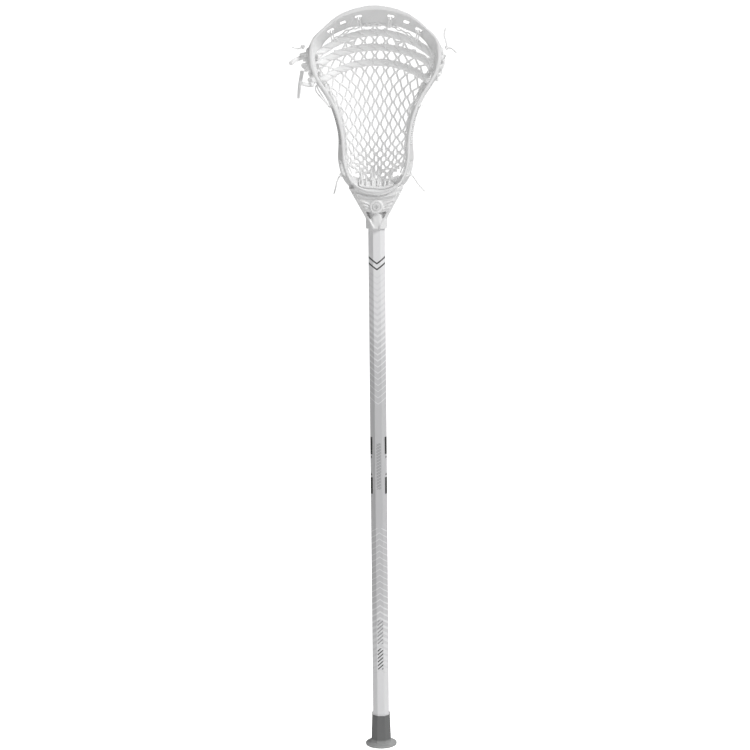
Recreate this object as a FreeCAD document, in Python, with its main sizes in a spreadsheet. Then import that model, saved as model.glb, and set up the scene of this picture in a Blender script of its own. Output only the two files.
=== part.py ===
"""Lacrosse stick: octagonal tube shaft, rubber butt cap, moulded head and strung mesh pocket.

Frame: the origin is the centre of the butt cap's flat end. +Z runs up the shaft to the
scoop, the open face of the head looks along -Y and the pocket hangs towards +Y.
Millimetres throughout.
"""
import FreeCAD, Part
import math
import os

import Sketcher

Vec = FreeCAD.Vector
doc = FreeCAD.newDocument("lacrosse_stick")

# ---------------------------------------------------------------- driving dimensions
SIZES = [
    ("shaft_length", 762.0, "30 in tube"),
    ("shaft_width", 22.2, "across the side flats"),
    ("shaft_depth", 27.0, "across the front and back flats"),
    ("shaft_bevel", 6.4, "leg of each of the four corner flats"),
    ("shaft_wall", 1.3, "tube wall"),
    ("fit_gap", 0.3, "clear gap between the tube and what slides over it"),
    ("cap_floor", 5.0, "rubber under the end of the tube"),
    ("cap_flange_diameter", 43.0, "round foot of the cap"),
    ("cap_flange_rim", 4.2, "height of the foot at its rim"),
    ("cap_sleeve_length", 40.0, "sleeve above the floor"),
    ("cap_wall_top", 0.8, "sleeve wall at its mouth"),
    ("cap_wall_base", 2.2, "sleeve wall where it meets the foot"),
    ("neck_insertion", 46.0, "length of tube inside the neck"),
    ("neck_wall", 2.8, "neck wall round the tube"),
    ("neck_collar", 14.0, "straight part of the neck"),
    ("socket_end_gap", 1.0, "from the end of the tube to the socket's roof"),
    ("socket_roof", 2.0, "from the socket's roof to the underside of the head bowl"),
    ("head_length", 247.5, "underside of the throat to the scoop's lip"),
    ("head_half_width", 85.5, "half the width across the front rim"),
    ("stop_thickness", 10.0, "throat wall under the ball stop"),
    ("throat_lip", 4.7, "front edge of the throat's floor above the bowl's underside"),
    ("rim_front", 28.0, "front rim ahead of the shaft's axis"),
    ("rail_back", 18.0, "back rail behind the shaft's axis"),
    ("rim_land", 2.6, "flat of the front rim"),
    ("rim_dip", 7.0, "how far the front rim curves back between throat and scoop"),
    ("rail_flare", 5.4, "how far the back rail stands outside the front rim"),
    ("rail_heel", 5.0, "how much further it stands out beside the throat"),
    ("skirt_wall", 3.0, "outer wall of the hollow sidewall"),
    ("funnel_wall", 3.2, "inner wall of the hollow sidewall"),
    ("boss_diameter", 17.6, "round screw boss on the throat"),
    ("screw_head_diameter", 10.6, "washer head of the head screw"),
    ("screw_shank_diameter", 4.2, "head screw shank"),
    ("screw_length", 14.0, "under the screw's head"),
    ("screw_head_height", 2.2, "washer head of the head screw"),
    ("screw_below_top", 15.0, "screw's axis below the end of the tube"),
    ("throat_pit", 15.0, "depth of the hollows beside the ridge, from the web's face"),
    ("boss_height", 3.0, "screw boss in front of the neck web"),
    ("pad_thickness", 3.0, "foam ball stop"),
    ("net_thickness", 1.8, "knitted mesh"),
    ("pocket_depth", 38.0, "mesh sag behind the back rail"),
    ("lace_diameter", 7.4, "twisted pair of shooting laces"),
    ("string_diameter", 2.2, "nylon stringing cord"),
    ("lace_end_width", 6.0, "loose end of a shooting lace"),
]

sheet = doc.addObject("Spreadsheet::Sheet", "sizes")
for row, (alias, value, note) in enumerate(SIZES, start=1):
    sheet.set("A%d" % row, alias)
    sheet.set("B%d" % row, "%g" % value)
    sheet.setAlias("B%d" % row, alias)
    sheet.set("C%d" % row, note)
doc.recompute()


def size(alias):
    return float(sheet.get(alias))


shaft_base_z = size("cap_floor") + size("fit_gap")
shaft_top_z = shaft_base_z + size("shaft_length")
neck_base_z = shaft_top_z - size("neck_insertion")
socket_roof_z = shaft_top_z + size("socket_end_gap")
head_base_z = socket_roof_z + size("socket_roof")
head_tip_z = head_base_z + size("head_length")
stop_z = head_base_z + size("stop_thickness")
screw_z = shaft_top_z - size("screw_below_top")
front_y = -size("rim_front")
back_y = size("rail_back")
SUB_PARTS = []


# ---------------------------------------------------------------- helpers
def origin_plane(body, role):
    """The body's own origin plane with this role."""
    return next(item for item in body.Origin.OriginFeatures if item.Role == role)


def new_body(label):
    body = doc.addObject("PartDesign::Body", label)
    body.Label = label
    SUB_PARTS.append(body)
    return body


def new_sketch(body, name, role, offset_expression=None):
    sketch = body.newObject("Sketcher::SketchObject", name)
    sketch.AttachmentSupport = [(origin_plane(body, role), "")]
    sketch.MapMode = "FlatFace"
    if offset_expression:
        sketch.setExpression("AttachmentOffset.Base.z", offset_expression)
    return sketch


def bound_octagon(sketch, half_x, half_y, bevel):
    """An octagon with bevelled corners, centred on the sketch, its three sizes bound."""
    hx, hy, cut = 10.0, 12.0, 4.0
    corners = [(hx, -hy + cut), (hx, hy - cut), (hx - cut, hy), (-hx + cut, hy),
               (-hx, hy - cut), (-hx, -hy + cut), (-hx + cut, -hy), (hx - cut, -hy)]
    count = len(corners)
    for index, (x, y) in enumerate(corners):
        nx, ny = corners[(index + 1) % count]
        sketch.addGeometry(Part.LineSegment(Vec(x, y, 0), Vec(nx, ny, 0)), False)
    for index in range(count):
        sketch.addConstraint(Sketcher.Constraint("Coincident", index, 2, (index + 1) % count, 1))
    for index in (0, 4):
        sketch.addConstraint(Sketcher.Constraint("Vertical", index))
    for index in (2, 6):
        sketch.addConstraint(Sketcher.Constraint("Horizontal", index))
    bindings = [
        ("DistanceX", -1, 1, 0, 1, hx, half_x), ("DistanceX", 4, 1, -1, 1, hx, half_x),
        ("DistanceY", -1, 1, 2, 1, hy, half_y), ("DistanceY", 6, 1, -1, 1, hy, half_y),
    ]
    for kind, first, first_point, second, second_point, value, expression in bindings:
        number = sketch.addConstraint(
            Sketcher.Constraint(kind, first, first_point, second, second_point, value))
        sketch.setExpression("Constraints[%d]" % number, expression)
    for index in (1, 3, 5, 7):
        for kind in ("DistanceX", "DistanceY"):
            (x, y), (nx, ny) = corners[index], corners[(index + 1) % count]
            first, second = (1, 2) if (nx - x if kind == "DistanceX" else ny - y) > 0 else (2, 1)
            number = sketch.addConstraint(
                Sketcher.Constraint(kind, index, first, index, second, cut))
            sketch.setExpression("Constraints[%d]" % number, bevel)


def add_pad(body, sketch, name, length_expression):
    pad = body.newObject("PartDesign::Pad", name)
    pad.Profile = sketch
    pad.setExpression("Length", length_expression)
    return pad


def code_part(label, shape):
    """A sub-part whose shape is made by Part's own functions from the sheet's sizes."""
    item = doc.addObject("Part::Feature", label)
    item.Label = label
    item.Shape = shape
    SUB_PARTS.append(item)
    return item


def box(x0, y0, z0, x1, y1, z1):
    return Part.makeBox(x1 - x0, y1 - y0, z1 - z0, Vec(x0, y0, z0))


def octagon_wire(half_x, half_y, bevel, z):
    corners = [(half_x, -half_y + bevel), (half_x, half_y - bevel),
               (half_x - bevel, half_y), (-half_x + bevel, half_y),
               (-half_x, half_y - bevel), (-half_x, -half_y + bevel),
               (-half_x + bevel, -half_y), (half_x - bevel, -half_y)]
    points = [Vec(x, y, z) for x, y in corners]
    return Part.makePolygon(points + points[:1])


def tube(points, diameter, label):
    """A round cord: straight runs joined by tangent arcs as large as the runs allow."""
    points = [Vec(*p) for p in points]
    edges, start, radii = [], points[0], []
    for before, corner, after in zip(points, points[1:], points[2:]):
        run_in, run_out = (before - corner), (after - corner)
        shorter = min(run_in.Length, run_out.Length)
        run_in.normalize()
        run_out.normalize()
        turn = math.pi - run_in.getAngle(run_out)
        reach = 0.45 * shorter
        radius = reach / math.tan(turn / 2)
        radii.append(radius)
        enter, leave = corner + run_in * reach, corner + run_out * reach
        middle_way = (run_in + run_out).normalize()
        middle = corner + middle_way * (math.hypot(reach, radius) - radius)
        edges.append(Part.LineSegment(start, enter).toShape())
        edges.append(Part.Arc(enter, middle, leave).toShape())
        start = leave
    edges.append(Part.LineSegment(start, points[-1]).toShape())
    path = Part.Wire(edges)
    heading = points[1] - points[0]
    profile = Part.Wire(Part.makeCircle(diameter / 2, points[0], heading))
    solid = path.makePipeShell([profile], True, True)
    expected = math.pi * diameter ** 2 / 4 * path.Length
    print("%s: %.0f mm long, smallest radius %.1f mm, volume ratio %.3f"
          % (label, path.Length, min(radii), solid.Volume / expected))
    return solid


# ---------------------------------------------------------------- shaft
def make_shaft():
    body = new_body("shaft_tube")
    outside = new_sketch(body, "tube_outside", "XY_Plane")
    bound_octagon(outside, "sizes.shaft_width / 2", "sizes.shaft_depth / 2",
                  "sizes.shaft_bevel")
    outside.setExpression("AttachmentOffset.Base.z", "sizes.cap_floor + sizes.fit_gap")
    add_pad(body, outside, "tube", "sizes.shaft_length")
    inside = new_sketch(body, "tube_inside", "XY_Plane", "sizes.cap_floor + sizes.fit_gap")
    # A constant wall narrows each corner flat by wall x (2 - sqrt 2).
    bound_octagon(inside, "sizes.shaft_width / 2 - sizes.shaft_wall",
                  "sizes.shaft_depth / 2 - sizes.shaft_wall",
                  "sizes.shaft_bevel - 0.5858 * sizes.shaft_wall")
    bore = body.newObject("PartDesign::Pocket", "tube_bore")
    bore.Profile = inside
    bore.Reversed = True
    bore.setExpression("Length", "sizes.shaft_length")
    hole_sketch = new_sketch(body, "screw_hole_circle", "XZ_Plane")
    hole_sketch.addGeometry(Part.Circle(Vec(0, 750, 0), Vec(0, 0, 1), 2.1), False)
    radius = hole_sketch.addConstraint(Sketcher.Constraint("Radius", 0, 2.1))
    hole_sketch.setExpression("Constraints[%d]" % radius,
                              "sizes.screw_shank_diameter / 2 + sizes.fit_gap / 2")
    hole_sketch.addConstraint(Sketcher.Constraint("PointOnObject", 0, 3, -2))
    height = hole_sketch.addConstraint(Sketcher.Constraint("DistanceY", -1, 1, 0, 3, 750))
    hole_sketch.setExpression(
        "Constraints[%d]" % height,
        "sizes.cap_floor + sizes.fit_gap + sizes.shaft_length - sizes.screw_below_top")
    hole = body.newObject("PartDesign::Pocket", "screw_hole")
    hole.Profile = hole_sketch
    hole.setExpression("Length", "sizes.shaft_depth")
    doc.recompute()
    front_wall = box(-3, -size("shaft_depth"), screw_z - 3, 3, 0, screw_z + 3)
    if body.Shape.common(front_wall).Volume > 0.995 * blank_wall_volume(front_wall):
        hole.Reversed = True
    return body


def blank_wall_volume(region):
    """Volume of unpierced tube wall inside a region round the front flat."""
    outer = Part.Face(octagon_wire(size("shaft_width") / 2, size("shaft_depth") / 2,
                                   size("shaft_bevel"), screw_z - 10)).extrude(Vec(0, 0, 20))
    inner = Part.Face(octagon_wire(
        size("shaft_width") / 2 - size("shaft_wall"),
        size("shaft_depth") / 2 - size("shaft_wall"),
        size("shaft_bevel"), screw_z - 10)).extrude(Vec(0, 0, 20))
    return outer.cut(inner).common(region).Volume


# ---------------------------------------------------------------- butt cap
def make_butt_cap():
    """Round foot with a soft edge, an octagonal tapering sleeve and the tube's socket."""
    gap, floor = size("fit_gap"), size("cap_floor")
    bore_x, bore_y = size("shaft_width") / 2 + gap, size("shaft_depth") / 2 + gap
    bevel = size("shaft_bevel") + gap * 0.59
    foot_radius, rim = size("cap_flange_diameter") / 2, size("cap_flange_rim")
    mouth_z = floor + size("cap_sleeve_length")
    top, base = size("cap_wall_top"), size("cap_wall_base")
    edge = 0.45 * rim
    profile = Part.Wire([
        Part.LineSegment(Vec(0, 0, 0), Vec(foot_radius - edge, 0, 0)).toShape(),
        Part.Arc(Vec(foot_radius - edge, 0, 0),
                 Vec(foot_radius - edge * 0.29, 0, edge * 0.29),
                 Vec(foot_radius, 0, edge)).toShape(),
        Part.LineSegment(Vec(foot_radius, 0, edge), Vec(foot_radius, 0, rim - edge)).toShape(),
        Part.Arc(Vec(foot_radius, 0, rim - edge),
                 Vec(foot_radius - edge * 0.29, 0, rim - edge * 0.29),
                 Vec(foot_radius - edge, 0, rim)).toShape(),
        Part.LineSegment(Vec(foot_radius - edge, 0, rim),
                         Vec(bore_x + base, 0, rim + 3.2)).toShape(),
        Part.LineSegment(Vec(bore_x + base, 0, rim + 3.2), Vec(0, 0, rim + 3.2)).toShape(),
        Part.LineSegment(Vec(0, 0, rim + 3.2), Vec(0, 0, 0)).toShape(),
    ])
    foot = Part.Face(profile).revolve(Vec(0, 0, 0), Vec(0, 0, 1), 360)
    sleeve = Part.makeLoft([octagon_wire(bore_x + base, bore_y + base, bevel + base * 0.59, rim),
                            octagon_wire(bore_x + top, bore_y + top, bevel + top * 0.59,
                                         mouth_z)], True, True)
    socket = Part.Face(octagon_wire(bore_x, bore_y, bevel, floor)).extrude(
        Vec(0, 0, size("cap_sleeve_length") + 1))
    return code_part("butt_cap", foot.fuse(sleeve).cut(socket).removeSplitter())


# ---------------------------------------------------------------- head outlines
# Each outline is half of a closed curve, as (share of half width, share of head length),
# from the middle of the throat round to the middle of the scoop.
FRONT_OUTLINE = [(0, -0.008), (0.23, 0.010), (0.37, 0.052), (0.470, 0.121), (0.508, 0.185),
                 (0.518, 0.270), (0.548, 0.350), (0.620, 0.438), (0.748, 0.528),
                 (0.922, 0.620), (0.99, 0.686), (1.0, 0.745), (0.945, 0.830),
                 (0.80, 0.882), (0.655, 0.927), (0.49, 0.962), (0.25, 0.989), (0, 1.0)]
FUNNEL_OUTLINE = [(0, 0.041), (0.21, 0.044), (0.365, 0.072), (0.438, 0.125), (0.463, 0.185),
                  (0.472, 0.265), (0.496, 0.340), (0.562, 0.430), (0.668, 0.520),
                  (0.80, 0.608), (0.865, 0.668), (0.865, 0.725), (0.79, 0.783),
                  (0.668, 0.824), (0.51, 0.850), (0.34, 0.864), (0.17, 0.870), (0, 0.872)]
OUTER_SCOOP_DROP = 0.116
HEEL_HEIGHT, HEEL_SPAN = 0.045, 0.22


def closed_curve(half, y):
    """A smooth closed wire through half an outline and its mirror image, at depth y."""
    points = [Vec(x, y, z) for x, z in half]
    points += [Vec(-x, y, z) for x, z in half[-2:0:-1]]
    curve = Part.BSplineCurve()
    curve.interpolate(Points=points, PeriodicFlag=True)
    return Part.Wire(curve.toShape())


def sized(outline):
    return [(share_x * size("head_half_width"), head_base_z + share_z * size("head_length"))
            for share_x, share_z in outline]


def grown(half, amount):
    """Half an outline moved outwards by an amount; the two end points stay on the axis."""
    moved = []
    for index, (x, z) in enumerate(half):
        if index == 0:
            moved.append((0, z - amount))
        elif index == len(half) - 1:
            moved.append((0, z + amount))
        else:
            (ax, az), (bx, bz) = half[index - 1], half[index + 1]
            length = math.hypot(bx - ax, bz - az)
            moved.append((x + amount * (bz - az) / length, z - amount * (bx - ax) / length))
    return moved


def ring_solid(front_half, back_half, front, back):
    return Part.makeLoft([closed_curve(front_half, front), closed_curve(back_half, back)],
                         True, True)


def outer_back_outline():
    """The back rail: wider than the front rim, with the scoop laid back behind its lip."""
    drop = OUTER_SCOOP_DROP * size("head_length")
    tilt_from = head_base_z + 0.70 * size("head_length")
    heel_z = head_base_z + HEEL_HEIGHT * size("head_length")
    heel_span = HEEL_SPAN * size("head_length")
    half = []
    for x, z in grown(sized(FRONT_OUTLINE), size("rail_flare")):
        share = max(0.0, (z - tilt_from) / (head_tip_z - tilt_from))
        if x:
            x += size("rail_heel") * max(0.0, 1 - abs(z - heel_z) / heel_span)
        half.append((x, z - (drop + size("rail_flare")) * share))
    return half


def inner_front_outline():
    """Inside edge of the front rim: thin at the sides, deeper at the throat and scoop."""
    half = grown(sized(FRONT_OUTLINE), -size("rim_land"))
    deep_land = 2.6 * size("rim_land")
    lip_z = head_base_z + size("throat_lip")
    shaped = []
    for x, z in half:
        from_tip = (z - (head_tip_z - 0.25 * size("head_length"))) / (0.25 * size("head_length"))
        z -= max(0.0, from_tip) ** 2 * (deep_land - size("rim_land"))
        shaped.append((x, max(z, lip_z + 0.10 * abs(x) ** 1.05)))
    return shaped


# ---------------------------------------------------------------- head
LACE_ROWS = [  # name, height of the middle and of the ends, reach of the ends and of the knots
    ("upper", 0.843, 0.716, 0.888, 1.064),
    ("middle", 0.763, 0.670, 0.884, 1.058),
    ("lower", 0.680, 0.588, 0.798, 0.895),
]
SCOOP_SLOTS = [(0.245, 0.927, True), (0.480, 0.895, False), (0.665, 0.854, True)]
LACE_END_Y = 3.0


def bowl_point(share_x, share_z):
    return share_x * size("head_half_width"), head_base_z + share_z * size("head_length")


def bowl_mouth():
    """The funnel-shaped room inside the bowl, open in front and behind."""
    return ring_solid(inner_front_outline(), sized(FUNNEL_OUTLINE), front_y, back_y)


def make_bowl():
    """Sidewalls and scoop: a funnel-shaped ring, hollow from behind where it is thick."""
    front_outer, back_outer = sized(FRONT_OUTLINE), outer_back_outline()
    front_inner, back_inner = inner_front_outline(), sized(FUNNEL_OUTLINE)
    bowl = ring_solid(front_outer, back_outer, front_y, back_y).cut(bowl_mouth())
    skirt = ring_solid(grown(front_outer, -size("skirt_wall")),
                       grown(back_outer, -size("skirt_wall")), front_y, back_y)
    funnel = ring_solid(grown(front_inner, size("funnel_wall")),
                        grown(back_inner, size("funnel_wall")), front_y, back_y)
    hollow = skirt.cut(funnel)
    inner_x, outer_x = 0.36 * size("head_half_width"), 1.2 * size("head_half_width")
    z0, z1 = head_base_z + 0.46 * size("head_length"), head_base_z + 0.80 * size("head_length")
    for side in (-1, 1):
        x0, x1 = sorted((side * inner_x, side * outer_x))
        zone = box(x0, front_y + 3 * size("skirt_wall"), z0, x1, back_y + 1, z1)
        bowl = bowl.cut(hollow.common(zone))
    return bowl.cut(rim_curve())


def rim_curve():
    """A wide round tool that gives the front rim its hollow curve in side view."""
    dip, chord = size("rim_dip"), 0.94 * size("head_length")
    radius = chord ** 2 / (8 * dip) + dip / 2
    wide = 1.2 * size("head_half_width")
    middle_z = head_tip_z - chord / 2
    return Part.makeCylinder(radius, 2 * wide, Vec(-wide, front_y + dip - radius, middle_z),
                             Vec(1, 0, 0))


def sidewall_windows():
    """Openings through the sidewalls: (low, high) as shares of the head's length."""
    spans = [(0.085, 0.165), (0.455, 0.535), (0.560, 0.640)]
    depth = (front_y + 12, back_y - 7)
    corner = 4.0
    tools = []
    for low, high in spans:
        z0, z1 = (head_base_z + share * size("head_length") for share in (low, high))
        slab = box(-1.3 * size("head_half_width"), depth[0], z0,
                   1.3 * size("head_half_width"), depth[1], z1)
        edges = [edge for edge in slab.Edges
                 if abs(edge.Vertexes[0].X - edge.Vertexes[1].X) > 1]
        tools.append(slab.makeFillet(corner, edges))
    return tools


def lace_slots():
    """Slots through the sidewalls where the shooting laces pass out."""
    tools = []
    tall, wide = size("lace_diameter") + 2.6, size("lace_diameter") + 1.6
    for _name, _middle, end_share, reach_share, _knot_share in LACE_ROWS:
        z = head_base_z + end_share * size("head_length")
        for side in (-1, 1):
            x0, x1 = sorted((side * (reach_share - 0.12) * size("head_half_width"),
                             side * 1.3 * size("head_half_width")))
            tools.append(box(x0, LACE_END_Y - wide / 2, z - tall / 2,
                             x1, LACE_END_Y + wide / 2, z + tall / 2))
    return tools


def scoop_slots():
    """Six string slots in the scoop, leaning with its rim: plain, or a T for a string."""
    tools = []
    string = size("string_diameter")
    for share_x, share_z, tee in SCOOP_SLOTS:
        x, z = bowl_point(share_x, share_z)
        long = (4.2 if tee else 3.6) * string
        for side in (-1, 1):
            slot = box(-long / 2, front_y - 1, 0, long / 2, 3 * back_y, 1.7 * string)
            if tee:
                stem = 1.1 * string
                slot = slot.fuse(box(-stem, front_y - 1, -1.4 * string, stem, 3 * back_y, 1))
            slot.Placement = FreeCAD.Placement(
                Vec(side * x, 0, z), FreeCAD.Rotation(Vec(0, 1, 0), side * 42 * share_x))
            tools.append(slot)
    return tools


def tube_outline(grow, z):
    """The tube's octagon grown outwards by an amount, at height z."""
    return octagon_wire(size("shaft_width") / 2 + grow, size("shaft_depth") / 2 + grow,
                        size("shaft_bevel") + grow * 0.5858, z)


# Corners of a hollow beside the ridge, in boss radii (out from the middle, below the screw).
PIT_CORNERS = [(0.30, 1.02), (1.68, 0.74), (1.05, 2.15)]


def web_front_y():
    """Depth of the neck's front face at the screw."""
    collar_z = neck_base_z + size("neck_collar")
    shoulder_z = head_base_z + 0.028 * size("head_length")
    collar_y = size("shaft_depth") / 2 + size("fit_gap") + size("neck_wall")
    share = (screw_z - collar_z) / (shoulder_z - collar_z)
    return -(collar_y + share * (size("rim_front") - 3.5 - collar_y))


def make_neck():
    """Tube socket, the web that spreads from it to the bowl, the boss and the ridge."""
    grow = size("fit_gap") + size("neck_wall")
    collar_z = neck_base_z + size("neck_collar")
    collar = Part.Face(tube_outline(grow, neck_base_z)).extrude(Vec(0, 0, size("neck_collar")))
    shoulder_half = 0.425 * size("head_half_width")
    shoulder_z = head_base_z + 0.028 * size("head_length")
    web = Part.makeLoft([
        tube_outline(grow, collar_z),
        octagon_wire(shoulder_half, size("rim_front") - 3.5, 5.0, shoulder_z)], True, True)
    keep = box(-shoulder_half, front_y, neck_base_z, shoulder_half, back_y - 1, stop_z + 4)
    neck = collar.fuse(web.common(keep))
    top_y = web_front_y()
    boss = Part.makeCylinder(size("boss_diameter") / 2, size("boss_height") + 4,
                             Vec(0, top_y + 4, screw_z), Vec(0, -1, 0))
    ridge_half = 0.26 * size("boss_diameter")
    ridge_front = -(size("shaft_depth") / 2 + grow) - 1.4
    ridge = box(-ridge_half, ridge_front, neck_base_z, ridge_half, 0, screw_z)
    neck = neck.fuse([boss, ridge])
    seat = Part.makeCylinder(size("screw_head_diameter") / 2 + 0.35, size("boss_height") + 1,
                             Vec(0, screw_seat_y(), screw_z), Vec(0, -1, 0))
    shank = Part.makeCylinder(size("screw_shank_diameter") / 2 + size("fit_gap") / 2,
                              size("shaft_depth"), Vec(0, 0, screw_z), Vec(0, -1, 0))
    neck = neck.cut([seat, shank])
    # The hollows go down beside the tube's socket and leave part of its wall standing.
    socket_wall = Part.Face(tube_outline(size("fit_gap") + 0.5 * size("neck_wall"),
                                         neck_base_z)).extrude(Vec(0, 0, head_base_z))
    for side in (-1, 1):
        points = [Vec(side * a * size("boss_diameter") / 2, top_y - 3,
                      screw_z - b * size("boss_diameter") / 2) for a, b in PIT_CORNERS]
        hollow = Part.Face(Part.makePolygon(points + points[:1])).extrude(
            Vec(0, 3 + size("throat_pit"), 0))
        neck = neck.cut(hollow.cut(socket_wall))
    return neck


def screw_seat_y():
    """Plane on which the screw's head seats, inside the boss."""
    return web_front_y() - size("boss_height") + 1.5


def make_head_frame():
    head = make_bowl().fuse(make_neck().cut(bowl_mouth()))
    socket = Part.Face(tube_outline(size("fit_gap"), neck_base_z - 1)).extrude(
        Vec(0, 0, socket_roof_z - neck_base_z + 1))
    tools = [socket] + sidewall_windows() + lace_slots() + scoop_slots()
    return code_part("head_frame", head.cut(tools).removeSplitter())


def make_head_screw():
    """Pan-head screw with a cross recess, threaded through the tube's front wall."""
    seat_y, head_r = screw_seat_y(), size("screw_head_diameter") / 2
    toward_front = Vec(0, -1, 0)
    head = Part.makeCylinder(head_r, size("screw_head_height"), Vec(0, seat_y, screw_z),
                             toward_front)
    rim = [edge for edge in head.Edges
           if abs(edge.CenterOfMass.y - seat_y + size("screw_head_height")) < 0.01
           and len(edge.Vertexes) == 1]
    head = head.makeFillet(0.4 * size("screw_head_height"), rim)
    shank = Part.makeCylinder(size("screw_shank_diameter") / 2, size("screw_length"),
                              Vec(0, seat_y + size("screw_length"), screw_z), toward_front)
    point = Part.makeCone(0.5, size("screw_shank_diameter") / 2, 4,
                          Vec(0, seat_y + size("screw_length") + 4, screw_z), toward_front)
    slot_depth = 0.55 * size("screw_head_height")
    front = seat_y - size("screw_head_height")
    cross = [box(-a, front - 1, screw_z - b, a, front + slot_depth, screw_z + b)
             for a, b in ((0.5 * head_r, 0.6), (0.6, 0.5 * head_r))]
    return code_part("head_screw", head.fuse([shank, point]).cut(cross))


def make_ball_stop():
    """Foam strip lining the bottom of the bowl, cut from the bowl's own inner form."""
    gap = 0.2
    front_inner, back_inner = inner_front_outline(), sized(FUNNEL_OUTLINE)
    outside = ring_solid(grown(front_inner, -gap), grown(back_inner, -gap), front_y, back_y)
    grow = -gap - size("pad_thickness")
    inside = ring_solid(grown(front_inner, grow), grown(back_inner, grow), front_y, back_y)
    half = 0.27 * size("head_half_width")
    zone = box(-half, front_y + 5, head_base_z, half, back_y - 8, stop_z + 12)
    return code_part("ball_stop_pad", outside.cut(inside).common(zone))


# ---------------------------------------------------------------- mesh pocket
def funnel_half_width(z):
    """Half the clear width between the back rails at height z."""
    points = [p for p in FUNNEL_LINE if p.x >= 0]
    crossings = []
    for a, b in zip(points, points[1:]):
        if (a.z - z) * (b.z - z) <= 0 and a.z != b.z:
            crossings.append(a.x + (b.x - a.x) * (z - a.z) / (b.z - a.z))
    return max(crossings)


FUNNEL_LINE = closed_curve(sized(FUNNEL_OUTLINE), back_y).discretize(400)
scoop_back_z = max(p.z for p in FUNNEL_LINE)
NET_EDGE_Y = back_y - 3.5


def sag(z):
    """How far the middle of the mesh hangs behind its edge at height z."""
    share = (z - stop_z) / (scoop_back_z - stop_z)
    return 3.0 + (size("pocket_depth") - 3.0) * math.sin(math.pi * share ** 0.72) ** 0.85


def net_front_y(x, z):
    """Depth of the mesh's front face."""
    across = min(1.0, abs(x) / (funnel_half_width(z) - 1.0))
    return NET_EDGE_Y + sag(z) * (1 - across ** 2.2)


def make_mesh_pocket():
    sections = []
    shares = (0.02, 0.06, 0.13, 0.23, 0.35, 0.48, 0.61, 0.73, 0.83, 0.90, 0.945, 0.972)
    for share in shares:
        z = stop_z + share * (scoop_back_z - stop_z)
        half = funnel_half_width(z) - 1.0
        xs = [half * k / 5 for k in range(-5, 6)]
        front = [Vec(x, net_front_y(x, z), z) for x in xs]
        back = [p + Vec(0, size("net_thickness"), 0) for p in front]
        front_curve, back_curve = Part.BSplineCurve(), Part.BSplineCurve()
        front_curve.interpolate(Points=front)
        back_curve.interpolate(Points=back)
        sections.append(Part.Wire([
            front_curve.toShape(), Part.LineSegment(front[-1], back[-1]).toShape(),
            back_curve.toShape(), Part.LineSegment(back[0], front[0]).toShape()]))
    return code_part("mesh_pocket", Part.makeLoft(sections, True, False))


# ---------------------------------------------------------------- held strings
def lace_route(middle_share, end_share, reach_share):
    """Shooting lace: an arch across the mesh's front, its ends in the sidewall slots."""
    middle_z = head_base_z + middle_share * size("head_length")
    end_z = head_base_z + end_share * size("head_length")
    reach = reach_share * size("head_half_width")
    points = []
    for step in (-1, -0.78, -0.54, -0.28, 0, 0.28, 0.54, 0.78, 1):
        x, z = step * reach, middle_z + (end_z - middle_z) * step ** 2
        if abs(step) == 1:
            y = LACE_END_Y
        else:
            y = net_front_y(x, z) - size("lace_diameter") / 2 - 0.8
        points.append((x, y, z))
    return points


def make_shooting_laces():
    for name, middle, end, reach, _knot_share in LACE_ROWS:
        label = "shooting_lace_" + name
        code_part(label, tube(lace_route(middle, end, reach), size("lace_diameter"), label))


def rail_point(share, inset, depth):
    """A point beside the back rail: share runs round the funnel outline from the throat."""
    count = len(FUNNEL_OUTLINE) - 1
    place = share * count
    first = min(int(place), count - 1)
    half = grown(sized(FUNNEL_OUTLINE), -inset)
    (ax, az), (bx, bz) = half[first], half[first + 1]
    mix = place - first
    return ax + (bx - ax) * mix, depth, az + (bz - az) * mix


def make_edge_strings():
    """Nylon cord that ties the mesh's edge to the bowl, one run along each side."""
    diameter = size("string_diameter")
    depth = back_y + diameter / 2 + 0.3
    side_steps = (0.14, 0.22, 0.30, 0.38, 0.46, 0.54, 0.60, 0.66)
    for name, side in (("left", -1), ("right", 1)):
        label = "side_string_" + name
        points = [rail_point(step, -1.0, depth) for step in side_steps]
        code_part(label, tube([(side * x, y, z) for x, y, z in points], diameter, label))
    top = [rail_point(step, -1.0, depth) for step in (0.70, 0.76, 0.83, 0.90, 0.96)]
    route = [(-x, y, z) for x, y, z in top] + [(x, y, z) for x, y, z in reversed(top)]
    code_part("top_string", tube(route, diameter, "top_string"))
    low = [rail_point(step, -1.6, depth) for step in (0.105, 0.075, 0.035)]
    route = [(-x, y, z) for x, y, z in low] + [(x, y, z) for x, y, z in reversed(low)]
    code_part("bottom_string", tube(route, diameter, "bottom_string"))


# ---------------------------------------------------------------- knots and loose ends
KNOTS = {
    "knot_top_left": (-95.0, 15.0, 961.0),
    "knot_top_right": (95.0, 15.0, 958.0),
    "knot_bottom_left": (-46.0, 22.5, 790.0),
    "knot_bottom_right": (46.0, 22.5, 790.0),
}
LOOSE_STRINGS = {
    "tail_top_left": [(-96.6, 12.2, 960.6), (-99.0, 2.5, 959.6), (-102.5, -8.0, 960.2),
                      (-107.5, -17.5, 963.0)],
    "tail_top_right_upper": [(95.0, 12.8, 960.6), (93.4, 5.5, 969.0), (90.0, -3.0, 976.0),
                             (93.0, -9.5, 985.5)],
    "tail_top_right_lower": [(97.2, 12.6, 957.6), (99.8, 2.5, 958.6), (102.8, -8.0, 957.0),
                             (106.8, -17.5, 953.5)],
    "tail_bottom_left": [(-48.6, 20.6, 788.2), (-52.0, 12.0, 783.5), (-53.5, 1.5, 776.0),
                         (-56.0, -7.5, 768.0)],
    "tail_bottom_right": [(48.7, 20.7, 788.3), (52.5, 11.5, 783.5), (58.0, 2.0, 776.0),
                          (64.5, -5.5, 770.5)],
}
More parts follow.
